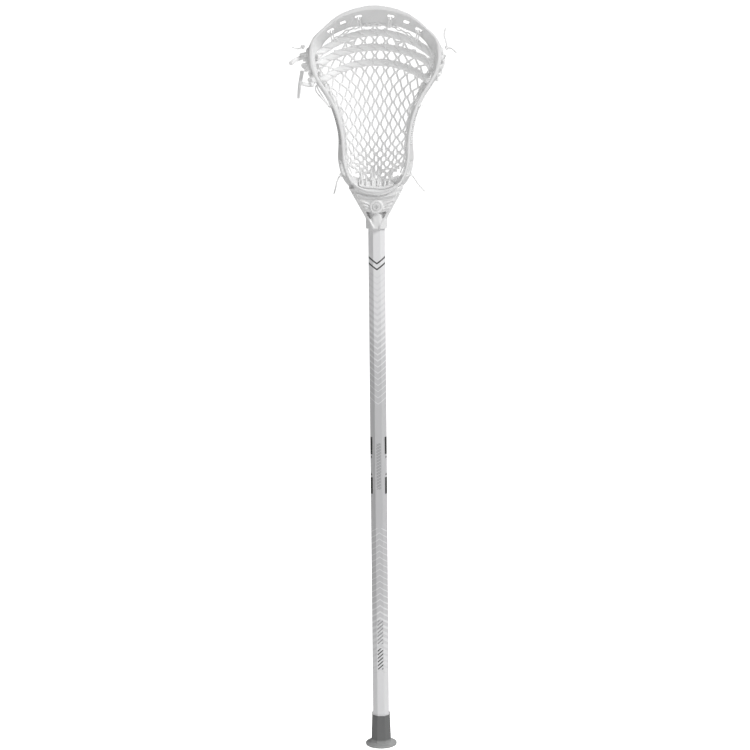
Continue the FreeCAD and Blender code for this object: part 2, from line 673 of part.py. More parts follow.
LACE_ENDS = {
    "lace_end_upper": [(-97.0, 1.0, 947.6), (-102.0, -9.5, 946.8), (-106.5, -21.5, 945.0),
                       (-110.0, -33.5, 943.0)],
    "lace_end_middle": [(-95.9, 0.5, 930.6), (-98.0, -4.0, 919.5), (-100.2, -7.0, 907.5),
                        (-101.0, -8.5, 895.0)],
    "lace_end_lower": [(-82.6, 1.0, 911.8), (-87.2, -10.5, 912.6), (-91.5, -22.0, 914.5),
                       (-96.5, -33.5, 917.5)],
}


def make_knots():
    """Round knots on the nylon cord, and the lump of each shooting lace outside its slot."""
    for label, centre in KNOTS.items():
        code_part(label, Part.makeSphere(1.35 * size("string_diameter"), Vec(*centre)))
    thick = size("lace_diameter") / 2
    for name, side in (("left", -1), ("right", 1)):
        lumps = []
        for _name, _middle, end_share, _reach_share, knot_share in LACE_ROWS:
            x, z = bowl_point(side * knot_share, end_share)
            x0, x1 = sorted((x, x + side * thick))
            lump = box(x0, LACE_END_Y - 1.2 * thick, z - 1.4 * thick,
                       x1, LACE_END_Y + 1.2 * thick, z + 1.4 * thick)
            lumps.append(lump.makeFillet(0.3 * thick, lump.Edges))
        code_part("lace_knots_" + name, Part.makeCompound(lumps))


def make_loose_ends():
    for label, points in LOOSE_STRINGS.items():
        code_part(label, tube(points, size("string_diameter"), label))
    for label, points in LACE_ENDS.items():
        code_part(label, tube(points, size("lace_end_width"), label))


# ---------------------------------------------------------------- build and write
make_shaft()
make_butt_cap()
make_head_frame()
make_head_screw()
make_ball_stop()
make_mesh_pocket()
make_shooting_laces()
make_edge_strings()
make_knots()
make_loose_ends()
doc.recompute()

for item in doc.Objects:
    if "Invalid" in item.State or "Error" in item.State:
        raise RuntimeError("%s failed: %s" % (item.Name, item.State))
os.makedirs("parts", exist_ok=True)
for item in SUB_PARTS:
    if item.Shape.isNull() or not item.Shape.isValid():
        raise RuntimeError("%s has no valid shape" % item.Label)
    item.Shape.exportStep(os.path.join("parts", item.Label + ".step"))
print("%d sub-parts written" % len(SUB_PARTS))
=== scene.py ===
"""Lacrosse stick: moulded head, knitted mesh, twisted laces, printed shaft and rubber cap."""
import math
import random

import bmesh
import bpy
from mathutils import Matrix, Vector
from mathutils.bvhtree import BVHTree


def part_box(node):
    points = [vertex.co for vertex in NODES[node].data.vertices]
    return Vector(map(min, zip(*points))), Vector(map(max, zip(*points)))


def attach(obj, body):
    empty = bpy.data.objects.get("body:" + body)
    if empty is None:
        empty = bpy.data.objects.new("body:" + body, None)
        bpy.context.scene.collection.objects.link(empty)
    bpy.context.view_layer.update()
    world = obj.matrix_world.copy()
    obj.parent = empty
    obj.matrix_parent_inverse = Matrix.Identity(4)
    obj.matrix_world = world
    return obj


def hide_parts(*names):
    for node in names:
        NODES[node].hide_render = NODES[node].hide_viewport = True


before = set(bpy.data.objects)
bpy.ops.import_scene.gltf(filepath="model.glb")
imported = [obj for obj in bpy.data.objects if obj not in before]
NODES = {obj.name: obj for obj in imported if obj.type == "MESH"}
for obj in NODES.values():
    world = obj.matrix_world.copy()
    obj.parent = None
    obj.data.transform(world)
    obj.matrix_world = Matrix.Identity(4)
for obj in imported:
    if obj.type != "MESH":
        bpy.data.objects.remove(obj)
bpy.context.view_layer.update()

bl_info = {
    "name": "Lacrosse Stick Looks",
    "version": (1, 0, 0),
    "blender": (4, 5, 0),
    "location": "3D Viewport > Sidebar > Stick",
    "description": "Finishes the parts of a strung lacrosse stick",
    "category": "Object",
}

STICK, CAP = "stick", "cap"
MM = 0.001
NUMBER, VECTOR = "NodeSocketFloat", "NodeSocketVector"


# ------------------------------------------------------------------ settings
class StageSettings(bpy.types.PropertyGroup):
    camera_distance: bpy.props.FloatProperty(
        name="Camera distance", description="From the middle of the stick to the camera",
        default=3.57, min=1.0, unit="LENGTH")
    camera_elevation: bpy.props.FloatProperty(
        name="Camera elevation", description="Angle of the camera above the horizon",
        default=math.radians(11.5), subtype="ANGLE")
    camera_roll: bpy.props.FloatProperty(
        name="Camera roll", description="Lean of the camera about its line of sight",
        default=-0.0095, subtype="ANGLE")
    lens: bpy.props.FloatProperty(
        name="Lens", description="Focal length in millimetres", default=127.1)
    floor_drop: bpy.props.FloatProperty(
        name="Floor drop", description="Gap between the cap and the floor",
        default=0.08, unit="LENGTH")
    key_power: bpy.props.FloatProperty(
        name="Key light", description="Power of the large lamp on the right", default=44.0,
        subtype="POWER")
    sky: bpy.props.FloatProperty(
        name="Sky", description="Strength of the even light all round", default=0.25)
    bounce: bpy.props.FloatProperty(
        name="Floor bounce", description="Light that the floor gives back", default=0.14)


class PaintSettings(bpy.types.PropertyGroup):
    white: bpy.props.FloatVectorProperty(
        name="White", description="Light end of the shaft's fade", subtype="COLOR", size=3,
        default=(0.80, 0.80, 0.81), min=0, max=1)
    grey: bpy.props.FloatVectorProperty(
        name="Grey", description="Grey middle of the shaft", subtype="COLOR", size=3,
        default=(0.56, 0.56, 0.57), min=0, max=1)
    ink: bpy.props.FloatVectorProperty(
        name="Ink", description="Black print", subtype="COLOR", size=3,
        default=(0.012, 0.012, 0.013), min=0, max=1)
    pitch: bpy.props.FloatProperty(
        name="Chevron pitch", description="Height from one chevron to the next",
        default=0.0085, unit="LENGTH")
    rise: bpy.props.FloatProperty(
        name="Chevron rise", description="Climb of a chevron's arm for each metre across",
        default=0.74)


class PlasticSettings(bpy.types.PropertyGroup):
    nylon: bpy.props.FloatVectorProperty(
        name="Nylon", description="Colour of the moulded head", subtype="COLOR", size=3,
        default=(0.80, 0.80, 0.80), min=0, max=1)
    rubber: bpy.props.FloatVectorProperty(
        name="Rubber", description="Colour of the butt cap", subtype="COLOR", size=3,
        default=(0.190, 0.193, 0.193), min=0, max=1)
    soften: bpy.props.FloatProperty(
        name="Edge softening", description="Voxel size used to round the moulding's edges",
        default=0.0008, unit="LENGTH", precision=5)


class CordSettings(bpy.types.PropertyGroup):
    fibre: bpy.props.FloatVectorProperty(
        name="Fibre", description="Colour of laces, mesh and string", subtype="COLOR", size=3,
        default=(0.75, 0.75, 0.75), min=0, max=1)
    string_diameter: bpy.props.FloatProperty(
        name="String diameter", description="Nylon stringing cord", default=0.0022,
        unit="LENGTH", precision=5)
    lace_width: bpy.props.FloatProperty(
        name="Lace width", description="Width of a flat lace end", default=0.006,
        unit="LENGTH", precision=5)
    mesh_cord: bpy.props.FloatProperty(
        name="Mesh cord", description="Diameter of the mesh's knitted cords", default=0.0031,
        unit="LENGTH", precision=5)


def settings(name):
    """One group of the scene's settings."""
    return getattr(bpy.context.scene, "stick_" + name)


# ------------------------------------------------------------------ shader helpers
class Tree:
    """Small builder for node trees: a socket takes a value or another node's output."""

    def __init__(self, tree):
        self.tree = tree

    def node(self, kind, inputs=None, **fields):
        made = self.tree.nodes.new(kind)
        for key, value in fields.items():
            setattr(made, key, value)
        for key, value in (inputs or {}).items():
            self.feed(made.inputs[key], value)
        return made

    def feed(self, socket, value):
        if isinstance(value, bpy.types.NodeSocket):
            self.tree.links.new(value, socket)
        else:
            socket.default_value = value

    def math(self, operation, first, second=0.0, third=0.0):
        made = self.node("ShaderNodeMath", {0: first, 1: second, 2: third},
                         operation=operation)
        return made.outputs[0]

    def chain(self, operation, *values):
        """Runs one operation through several values."""
        result = values[0]
        for value in values[1:]:
            result = self.math(operation, result, value)
        return result

    def mix(self, factor, first, second):
        made = self.node("ShaderNodeMix", data_type="RGBA")
        self.feed(made.inputs[0], factor)
        self.feed(made.inputs[6], first)
        self.feed(made.inputs[7], second)
        return made.outputs[2]

    def ramp(self, value, low, high):
        """0 below low, 1 above high, smooth between."""
        made = self.node("ShaderNodeMapRange", {0: value, 1: low, 2: high},
                         interpolation_type="SMOOTHSTEP")
        return made.outputs[0]

    def bump(self, shader, height, distance, strength=1.0):
        """Raises the shader's surface by a height."""
        relief = self.node("ShaderNodeBump", {"Height": height, "Distance": distance,
                                              "Strength": strength})
        self.feed(shader.inputs["Normal"], relief.outputs[0])

    def object_place(self):
        """Place on the piece, in metres."""
        return self.node("ShaderNodeTexCoord").outputs["Object"]


def rgba(colour, shade=1.0):
    """A socket's colour, darkened or brightened by a share."""
    return (*(channel * shade for channel in colour), 1.0)


def new_group(name, inputs, outputs):
    """A shader node group with float or colour sockets, and its builder."""
    group = bpy.data.node_groups.new(name, "ShaderNodeTree")
    for label, kind, default in inputs:
        socket = group.interface.new_socket(name=label, in_out="INPUT", socket_type=kind)
        socket.default_value = default
    for label, kind in outputs:
        group.interface.new_socket(name=label, in_out="OUTPUT", socket_type=kind)
    tree = Tree(group)
    return group, tree, tree.node("NodeGroupInput").outputs, tree.node("NodeGroupOutput").inputs


def moulded_grain():
    """Fine skin of a moulded or painted surface: a tint mask, roughness and height."""
    name = "Moulded grain"
    if name in bpy.data.node_groups:
        return bpy.data.node_groups[name]
    group, tree, given, out = new_group(
        name, [("Scale", NUMBER, 900.0), ("Roughness", NUMBER, 0.4), ("Spread", NUMBER, 0.08)],
        [("Tint", NUMBER), ("Roughness", NUMBER), ("Height", NUMBER)])
    place = tree.object_place()
    fine = tree.node("ShaderNodeTexNoise", {"Vector": place, "Scale": given["Scale"],
                                            "Detail": 3.0, "Roughness": 0.6})
    broad = tree.node("ShaderNodeTexNoise", {"Vector": place, "Scale": 22.0, "Detail": 4.0,
                                             "Roughness": 0.55})
    spread, speckle = (tree.math("MULTIPLY", tree.math("SUBTRACT", noise.outputs[0], 0.5),
                                 given["Spread"]) for noise in (broad, fine))
    tree.feed(out["Tint"], tree.chain("ADD", 0.5, spread, speckle))
    tree.feed(out["Roughness"], tree.math("ADD", given["Roughness"],
                                          tree.math("ADD", spread, speckle)))
    tree.feed(out["Height"], fine.outputs[0])
    return group


def strand_weave():
    """Braided yarns along a cord, read from its own run and turn attributes."""
    name = "Strand weave"
    if name in bpy.data.node_groups:
        return bpy.data.node_groups[name]
    group, tree, given, out = new_group(
        name, [("Yarns", NUMBER, 6.0), ("Stitch", NUMBER, 0.0012)],
        [("Shade", NUMBER), ("Height", NUMBER)])
    around = tree.node("ShaderNodeAttribute", attribute_name="turn").outputs["Fac"]
    length = tree.node("ShaderNodeAttribute", attribute_name="run").outputs["Fac"]
    turn = tree.math("MULTIPLY", around, given["Yarns"])
    run = tree.math("DIVIDE", length, given["Stitch"])
    # Two sets of yarns run round the cord, one each way, and cross.
    ways = [tree.math("SINE", tree.math("MULTIPLY", tree.math(way, run, turn), 2 * math.pi))
            for way in ("ADD", "SUBTRACT")]
    height = tree.math("MULTIPLY_ADD", tree.chain("MULTIPLY", *ways), 0.5, 0.5)
    noise = tree.node("ShaderNodeTexNoise", {"Vector": tree.object_place(), "Scale": 1400.0,
                                             "Detail": 2.0})
    fuzz = tree.math("MULTIPLY", noise.outputs[0], 0.5)
    tree.feed(out["Height"], tree.math("ADD", height, fuzz))
    # Painted shade: the low parts of the weave, between the yarns, take the darker colour; the
    # fuzz adds random tone.
    tree.feed(out["Shade"], tree.math("MULTIPLY_ADD", height, 0.5, fuzz))
    return group


def new_material(name):
    """An empty material with its shader, and the builder of its tree."""
    material = bpy.data.materials.new(name)
    material.use_nodes = True
    material.node_tree.nodes.clear()
    tree = Tree(material.node_tree)
    shader = tree.node("ShaderNodeBsdfPrincipled")
    output = tree.node("ShaderNodeOutputMaterial")
    tree.feed(output.inputs["Surface"], shader.outputs[0])
    return material, tree, shader


def grained(name, colour, scale, roughness, spread, bump, dark=0.93):
    """Plain moulded or painted finish: grain varies its colour, gloss and surface a little."""
    material, tree, shader = new_material(name)
    grain = tree.node("ShaderNodeGroup", node_tree=moulded_grain())
    for key, value in (("Scale", scale), ("Roughness", roughness), ("Spread", spread)):
        grain.inputs[key].default_value = value
    tree.feed(shader.inputs["Base Color"], tree.mix(grain.outputs["Tint"], rgba(colour, dark),
                                                    rgba(colour)))
    tree.feed(shader.inputs["Roughness"], grain.outputs["Roughness"])
    tree.bump(shader, grain.outputs["Height"], bump)
    return material, tree, shader


def own_colour(shader):
    """The output that colours a shader, for a print or a painted highlight to be laid over."""
    return shader.inputs["Base Color"].links[0].from_socket


def fibre_material(name, colour, yarns, stitch, bump, painted_glow, dark=0.78):
    """Woven or braided cord, with a painted glow that keeps it pale in shade."""
    material, tree, shader = new_material(name)
    weave = tree.node("ShaderNodeGroup", node_tree=strand_weave())
    weave.inputs["Yarns"].default_value = yarns
    weave.inputs["Stitch"].default_value = stitch
    # Painted shade between the yarns: where the weave is low, the cord takes the darker colour.
    tree.feed(shader.inputs["Base Color"], tree.mix(weave.outputs["Shade"], rgba(colour, dark),
                                                    rgba(colour)))
    shader.inputs["Roughness"].default_value = 0.75
    shader.inputs["Sheen Weight"].default_value = 0.15
    # Painted light: the fibre glows a little, so it stays pale in shade.
    shader.inputs["Emission Color"].default_value = rgba(colour)
    shader.inputs["Emission Strength"].default_value = painted_glow
    tree.bump(shader, weave.outputs["Height"], bump, strength=0.8)
    return material


def wear(obj, material):
    """Gives a CAD node or a piece its one material."""
    if not obj.data.materials:
        obj.data.materials.append(material)
    for index in range(len(obj.material_slots)):
        obj.material_slots[index].material = material


# ------------------------------------------------------------------ mesh helpers
def link(name, data):
    """A new object in the scene."""
    made = bpy.data.objects.new(name, data)
    bpy.context.scene.collection.objects.link(made)
    return made


def plain_mesh(obj):
    """The object as its curve or modifiers leave it, as a new mesh."""
    graph = bpy.context.evaluated_depsgraph_get()
    return bpy.data.meshes.new_from_object(obj.evaluated_get(graph), depsgraph=graph)


def finished(obj):
    """The object with its modifiers turned into a plain mesh and removed."""
    mesh = plain_mesh(obj)
    obj.modifiers.clear()
    obj.data = mesh
    mesh.name = obj.name
    return obj


def melted(obj, voxel, rounds):
    """Joins and rounds a moulding: a voxel skin, then rounds of smoothing."""
    skin = obj.modifiers.new("skin", "REMESH")
    skin.mode = "VOXEL"
    skin.voxel_size = voxel
    soften = obj.modifiers.new("soften", "SMOOTH")
    soften.iterations = rounds
    return finished(obj)


def merged_copy(node, name):
    """A copy of a CAD node's mesh with its loose triangles joined at their corners."""
    mesh = NODES[node].data.copy()
    mesh.materials.clear()
    form = bmesh.new()
    form.from_mesh(mesh)
    bmesh.ops.remove_doubles(form, verts=form.verts, dist=1e-5)
    form.to_mesh(mesh)
    form.free()
    return link(name, mesh)


def surface_of(obj):
    """The object's faces, for finding where a line meets them."""
    form = bmesh.new()
    form.from_mesh(obj.data)
    tree = BVHTree.FromBMesh(form)
    form.free()
    return tree


def lines(name, routes, phases=None):
    """Smooth lines through routes of points, as one mesh of edges with a phase value."""
    data = bpy.data.curves.new(name, "CURVE")
    data.dimensions = "3D"
    data.resolution_u = 8
    for route in routes:
        spline = data.splines.new("NURBS")
        spline.points.add(len(route) - 1)
        for point, place in zip(spline.points, route):
            point.co = (*place, 1.0)
        spline.order_u = 3
        spline.use_endpoint_u = True
    curve = link(name, data)
    mesh = plain_mesh(curve)
    bpy.data.objects.remove(curve)
    mesh.name = name
    phase = mesh.attributes.new("phase", "FLOAT", "POINT")
    if phases:
        # A line's points follow one another, so a new line starts where an edge is missing.
        joined = {edge.vertices[1] for edge in mesh.edges if
                  edge.vertices[1] == edge.vertices[0] + 1}
        line = -1
        for index in range(len(mesh.vertices)):
            if index not in joined:
                line += 1
            phase.data[index].value = phases[line]
    return mesh


# ------------------------------------------------------------------ geometry node helpers
def new_tree(name, inputs):
    """A geometry node tree whose first socket in and out is the geometry."""
    tree = bpy.data.node_groups.new(name, "GeometryNodeTree")
    tree.interface.new_socket(name="Geometry", in_out="INPUT", socket_type="NodeSocketGeometry")
    tree.interface.new_socket(name="Geometry", in_out="OUTPUT",
                              socket_type="NodeSocketGeometry")
    for label, kind, default in inputs:
        socket = tree.interface.new_socket(name=label, in_out="INPUT", socket_type=kind)
        if default is not None:
            socket.default_value = default
    return tree


def grow(obj, tree, values):
    """Runs a geometry node tree on an object and keeps the plain mesh."""
    modifier = obj.modifiers.new(tree.name, "NODES")
    modifier.node_group = tree
    sockets = {item.name: item.identifier for item in tree.interface.items_tree
               if item.in_out == "INPUT"}
    for label, value in values.items():
        modifier[sockets[label]] = value
    return finished(obj)


def finish_tree(tree, geometry, material):
    """Ends a tree in Realize Instances and Set Material."""
    smooth = tree.node("GeometryNodeSetShadeSmooth", {"Geometry": geometry})
    real = tree.node("GeometryNodeRealizeInstances", {"Geometry": smooth.outputs[0]})
    painted = tree.node("GeometryNodeSetMaterial", {"Geometry": real.outputs[0],
                                                    "Material": material})
    tree.feed(tree.node("NodeGroupOutput").inputs["Geometry"], painted.outputs[0])


def stored(tree, geometry, name, value):
    """The geometry with a number kept at each of its points."""
    made = tree.node("GeometryNodeStoreNamedAttribute", {"Geometry": geometry, "Name": name},
                     data_type="FLOAT", domain="POINT")
    tree.feed(made.inputs["Value"], value)
    return made.outputs[0]


def kept(tree, name, data_type="FLOAT"):
    """A value that was kept at each point under a name."""
    return tree.node("GeometryNodeInputNamedAttribute", {"Name": name},
                     data_type=data_type).outputs[0]


def wound_cord_tree():
    """Cords along lines: an oval section that twists, or winds round the line as a ply."""
    name = "Wound cord"
    if name in bpy.data.node_groups:
        return bpy.data.node_groups[name]
    group = new_tree(name, [
        ("Spacing", NUMBER, 0.0008), ("Wind radius", NUMBER, 0.0), ("Pitch", NUMBER, 0.005),
        ("Width", NUMBER, 0.002), ("Thickness", NUMBER, 0.002), ("Sides", "NodeSocketInt", 8),
        ("Material", "NodeSocketMaterial", None)])
    tree = Tree(group)
    given = tree.node("NodeGroupInput").outputs
    line = tree.node("GeometryNodeMeshToCurve", {"Mesh": given["Geometry"]})
    even = tree.node("GeometryNodeResampleCurve", {"Curve": line.outputs[0],
                                                   "Length": given["Spacing"]}, mode="LENGTH")
    run = tree.node("GeometryNodeSplineParameter").outputs["Length"]
    turns = tree.math("DIVIDE", run, given["Pitch"])
    angle = tree.math("ADD", tree.math("MULTIPLY", turns, 2 * math.pi), kept(tree, "phase"))
    normal = tree.node("GeometryNodeInputNormal").outputs[0]
    tangent = tree.node("GeometryNodeInputTangent").outputs[0]

    def scaled(vector, amount):
        made = tree.node("ShaderNodeVectorMath", {0: vector}, operation="SCALE")
        tree.feed(made.inputs["Scale"], amount)
        return made.outputs[0]

    across = tree.node("ShaderNodeVectorMath", {0: tangent, 1: normal},
                       operation="CROSS_PRODUCT").outputs[0]
    outward = tree.node("ShaderNodeVectorMath",
                        {0: scaled(normal, tree.math("COSINE", angle)),
                         1: scaled(across, tree.math("SINE", angle))}).outputs[0]
    turned = tree.node("GeometryNodeSetCurveNormal", {"Curve": even.outputs[0],
                                                      "Normal": outward}, mode="FREE")
    placed = tree.node("GeometryNodeSetPosition",
                       {"Geometry": turned.outputs[0],
                        "Offset": scaled(tree.node("GeometryNodeInputNormal").outputs[0],
                                         given["Wind radius"])})
    marked = stored(tree, placed.outputs[0], "run", run)

    circle = tree.node("GeometryNodeCurvePrimitiveCircle", {"Resolution": given["Sides"],
                                                            "Radius": 1.0})
    oval_size = tree.node("ShaderNodeCombineXYZ", {
        0: tree.math("MULTIPLY", given["Thickness"], 0.5),
        1: tree.math("MULTIPLY", given["Width"], 0.5)}).outputs[0]
    oval_place = tree.node("ShaderNodeVectorMath", {
        0: tree.node("GeometryNodeInputPosition").outputs[0], 1: oval_size},
        operation="MULTIPLY").outputs[0]
    oval = tree.node("GeometryNodeSetPosition", {"Geometry": circle.outputs[0],
                                                 "Position": oval_place})
    section = stored(tree, oval.outputs[0], "turn",
                     tree.node("GeometryNodeSplineParameter").outputs["Factor"])
    skin = tree.node("GeometryNodeCurveToMesh", {"Curve": marked, "Profile Curve": section,
                                                 "Fill Caps": True})
    finish_tree(tree, skin.outputs[0], given["Material"])
    return group


def cord(name, routes, material, width, thickness=None, pitch=0.005, spacing=0.0008,
         wind=0.0, phases=None, sides=8):
    """One piece made of cords along routes."""
    return grow(link(name, lines(name, routes, phases)), wound_cord_tree(), {
        "Spacing": spacing, "Wind radius": wind, "Pitch": pitch, "Width": width,
        "Thickness": thickness or width, "Sides": sides, "Material": material})


def beads_tree():
    """Small solids on points: a round bead stretched to three sizes, and leaned."""
    name = "Beads on points"
    if name in bpy.data.node_groups:
        return bpy.data.node_groups[name]
    group = new_tree(name, [("Size", VECTOR, (0.002, 0.002, 0.002)),
                            ("Material", "NodeSocketMaterial", None)])
    tree = Tree(group)
    given = tree.node("NodeGroupInput").outputs
    bead = tree.node("GeometryNodeMeshUVSphere", {"Segments": 8, "Rings": 6, "Radius": 0.5})
    lean = kept(tree, "lean", "FLOAT_VECTOR")
    turned = tree.node("FunctionNodeEulerToRotation", {0: lean}).outputs[0]
    placed = tree.node("GeometryNodeInstanceOnPoints",
                       {"Points": given["Geometry"], "Instance": bead.outputs["Mesh"],
                        "Rotation": turned, "Scale": given["Size"]})
    finish_tree(tree, placed.outputs[0], given["Material"])
    return group


def beads(name, places, leans, sizes, material):
    """One piece made of beads at places, each with its own lean."""
    mesh = bpy.data.meshes.new(name)
    mesh.from_pydata([tuple(place) for place in places], [], [])
    lean = mesh.attributes.new("lean", "FLOAT_VECTOR", "POINT")
    for index, angles in enumerate(leans):
        lean.data[index].vector = angles
    return grow(link(name, mesh), beads_tree(), {"Size": sizes, "Material": material})


# ------------------------------------------------------------------ stage
SENSOR_WIDTH = 36.0
STICK_MIDDLE = Vector((0.0, 0.0, 0.505))
AIM_RISE, AIM_ASIDE = 0.0158, -0.0039
LAMP_AIM = Vector((0.0, 0.0, 0.75))
# Each lamp: its name, place, width, and share of the key light's power.
LAMPS = (("key", (1.5, -1.2, 2.3), 0.9, 1.0), ("fill", (-1.4, -2.4, 1.0), 1.4, 0.24),
         ("rim", (0.6, 1.4, 1.9), 1.2, 0.35))
WHITE = (1.0, 1.0, 1.0, 1.0)


class STICK_OT_stage(bpy.types.Operator):
    """Camera, soft light and a pale floor"""
    bl_idname = "stick.stage"
    bl_label = "Stage"

    def execute(self, context):
        chosen = settings("stage")
        scene = context.scene
        lift = chosen.camera_elevation
        ahead = Vector((0.0, math.cos(lift), -math.sin(lift)))
        upward = Vector((0.0, math.sin(lift), math.cos(lift)))
        # The camera aims a little above the stick's middle and to its left.
        view_width = chosen.camera_distance * SENSOR_WIDTH / chosen.lens
        aim = STICK_MIDDLE + upward * AIM_RISE * view_width + Vector((AIM_ASIDE, 0.0, 0.0))
        data = bpy.data.cameras.new("camera")
        data.lens = chosen.lens
        data.sensor_width = SENSOR_WIDTH
        data.clip_end = 50.0
        camera = link("camera", data)
        camera.location = STICK_MIDDLE - ahead * chosen.camera_distance
        look = (aim - camera.location).to_track_quat("-Z", "Y").to_matrix()
        camera.rotation_euler = (look @ Matrix.Rotation(chosen.camera_roll, 3, "Z")).to_euler()
        scene.camera = camera
        scene.view_settings.view_transform = "Standard"

        world = bpy.data.worlds.new("studio")
        world.use_nodes = True
        background = world.node_tree.nodes["Background"]
        background.inputs["Color"].default_value = WHITE
        background.inputs["Strength"].default_value = chosen.sky
        scene.world = world
        for name, place, width, share in LAMPS:
            lamp = bpy.data.lights.new(name, "AREA")
            lamp.shape = "DISK"
            lamp.size = width
            lamp.energy = share * chosen.key_power
            holder = link(name, lamp)
            holder.location = place
            toward = LAMP_AIM - Vector(place)
            holder.rotation_euler = toward.to_track_quat("-Z", "Y").to_euler()

        bpy.ops.mesh.primitive_plane_add(size=120.0, location=(0, 0, -chosen.floor_drop))
        floor = context.object
        floor.name = "floor"
        material, tree, shader = grained("pale floor", (0.86, 0.86, 0.86), 30.0, 0.9, 0.02,
                                         0.0001, dark=0.99)
        # The floor looks white to the camera and gives the stick only a soft bounce.
        seen = tree.node("ShaderNodeLightPath").outputs["Is Camera Ray"]
        shader.inputs["Emission Color"].default_value = WHITE
        tree.feed(shader.inputs["Emission Strength"],
                  tree.math("MULTIPLY_ADD", seen, 1.0 - chosen.bounce, chosen.bounce))
        wear(floor, material)
        return {"FINISHED"}


# ------------------------------------------------------------------ places on the stick
def corners(node):
    """Lowest and highest corner of a CAD node."""
    return [Vector(corner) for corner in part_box(node)]


HEAD_HIGH = corners("head_frame")[1]
NET_LOW, NET_HIGH = corners("mesh_pocket")
CREST_X = HEAD_HIGH.x
SHAFT_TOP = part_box("shaft_tube")[1][2]
THROAT_Z = SHAFT_TOP + 3 * MM
HEAD_LENGTH = HEAD_HIGH.z - THROAT_Z
BACK_Y = HEAD_HIGH.y
SIDES = ((-1, "left"), (1, "right"))
# Scoop slots that a string passes through, as shares of the slots' reach and of the length.
SCOOP_SLOTS = [(0.245, 0.927), (0.665, 0.854)]
SLOT_REACH = 0.94


def slot_place(share_x, share_z):
    """Distance from the middle and height of a slot in the scoop."""
    return share_x * SLOT_REACH * CREST_X, THROAT_Z + share_z * HEAD_LENGTH


def depth_at(surface, x, z, start=-0.1):
    """Depth of the first surface met looking back along +Y, or None."""
    hit = surface.ray_cast(Vector((x, start, z)), Vector((0, 1, 0)))[0]
    return hit.y if hit else None


def wall_at(surface, side, y, z):
    """Outermost point of the head's side; at an opening, that of the rail behind it."""
    for depth in (y, BACK_Y - 5 * MM, BACK_Y - 2 * MM):
        hit = surface.ray_cast(Vector((side * 0.2, depth, z)), Vector((-side, 0, 0)))[0]
        if hit and hit.x * side > 0:
            return Vector((hit.x, y, z))
    raise RuntimeError("no wall at height %.3f" % z)


def rail_half(surface, z):
    """Half the clear width inside the bowl at height z, measured near the back rail."""
    hit = surface.ray_cast(Vector((0, BACK_Y - 4 * MM, z)), Vector((1, 0, 0)))[0]
    return hit.x if hit else None


# ------------------------------------------------------------------ head
def bead_mesh(route, width, height):
    """A ridge: an oval bead along a route, to be melted into the moulding."""
    return cord("bead", [route], None, width, height, pitch=NO_TWIST, spacing=1.2 * MM)


# Relief of the throat, in millimetres from the middle and from the throat's top, or from the
# screw for the wings. A bead is its sink into the surface, its width and its height.
V_LINE, V_FOOT = ((31.0, -4), (24.5, -14), (17.4, -26), (13.4, -33), (8.6, -42)), (4.2, 2)
V_BEAD, WING_BEAD = (-1.3, 3.0, 3.4), (-0.7, 1.9, 2.2)
WINGS = (((9.5, 3.0), (26.0, 9.5)), ((9.3, -0.8), (22.0, 3.8)), ((8.8, -4.4), (17.5, -1.4)))
WING_BEND = 0.8
# Arches across the throat: stations of one half, drop, bend, climb to the rail, and bead.
ARCHES = (((4, 12, 20, 27, 34), 9.5, 2, 7.5, (-1.0, 2.8, 3.4)),
          ((3, 10, 17, 24, 30), 1.5, 2.2, 15, (-0.4, 2.6, 2.8)))
ARCH_HALF = 34
# Lines inside the scoop: start and end, each from the middle and down from the crest.
SCOOP_LINES = ((-27, 15, -34, 29), (27, 15, 44, 30), (35, 18, 52, 33))
LUG_DROPS, LUG_WIDTH, LUG_DEPTHS = (61, 72, 83, 94), 6.5, (-2, 4, 10, 15)
# Ribs of the grip on the outer sides: how many, first drop, step, and sizes.
RIB_COUNT, RIB_DROP, RIB_STEP, RIB_SIZE = 18, 134, 2.9, (3.0, 22, 1.5)
RIB_FRONT, RIB_MIDDLE, RIB_BACK = -19, -7, 5
NO_TWIST = 1e6
TRIANGLE_LIMIT = 190000


def throat_ridges(surface):
    """Raised lines of the throat: the V, the wings beside the screw and two arches."""
    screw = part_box("head_screw")
    centre = Vector((0, screw[0][1], (screw[0][2] + screw[1][2]) / 2))
    neck_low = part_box("head_frame")[0][2]
    top_z = THROAT_Z + 4 * MM
    ridges = []

    def lay(points, bead):
        sink, width, height = (size * MM for size in bead)
        placed = []
        for x, z in points:
            y = depth_at(surface, x, z)
            if y is not None:
                placed.append((x, y + sink, z))
        ridges.append((placed, width, height))

    for side in (-1, 1):
        v_line = [(side * x * MM, top_z + z * MM) for x, z in V_LINE]
        lay(v_line + [(side * V_FOOT[0] * MM, neck_low + V_FOOT[1] * MM)], V_BEAD)
        for start, end in WINGS:
            lay([(side * (start[0] + (end[0] - start[0]) * t) * MM,
                  centre.z + (start[1] + (end[1] - start[1]) * t ** WING_BEND) * MM)
                 for t in (0, 0.25, 0.5, 0.75, 1)], WING_BEAD)
    for half, drop, bend, climb, bead in ARCHES:
        stations = [-x for x in half[::-1]] + list(half)
        lay([(x * MM, top_z - drop * MM + (abs(x) / ARCH_HALF) ** bend * climb * MM)
             for x in stations], bead)
    return ridges


def scoop_lines(surface):
    """Slanted relief lines on the inside of the scoop."""
    ridges = []
    for x0, drop0, x1, drop1 in SCOOP_LINES:
        points = []
        for t in (0.0, 0.33, 0.66, 1.0):
            x = (x0 + (x1 - x0) * t) * MM
            z = HEAD_HIGH.z - (drop0 + (drop1 - drop0) * t) * MM
            y = depth_at(surface, x, z)
            if y is not None:
                points.append((x, y + 0.4 * MM, z))
        if len(points) == 4:
            ridges.append((points, 1.8 * MM, 1.8 * MM))
    return ridges


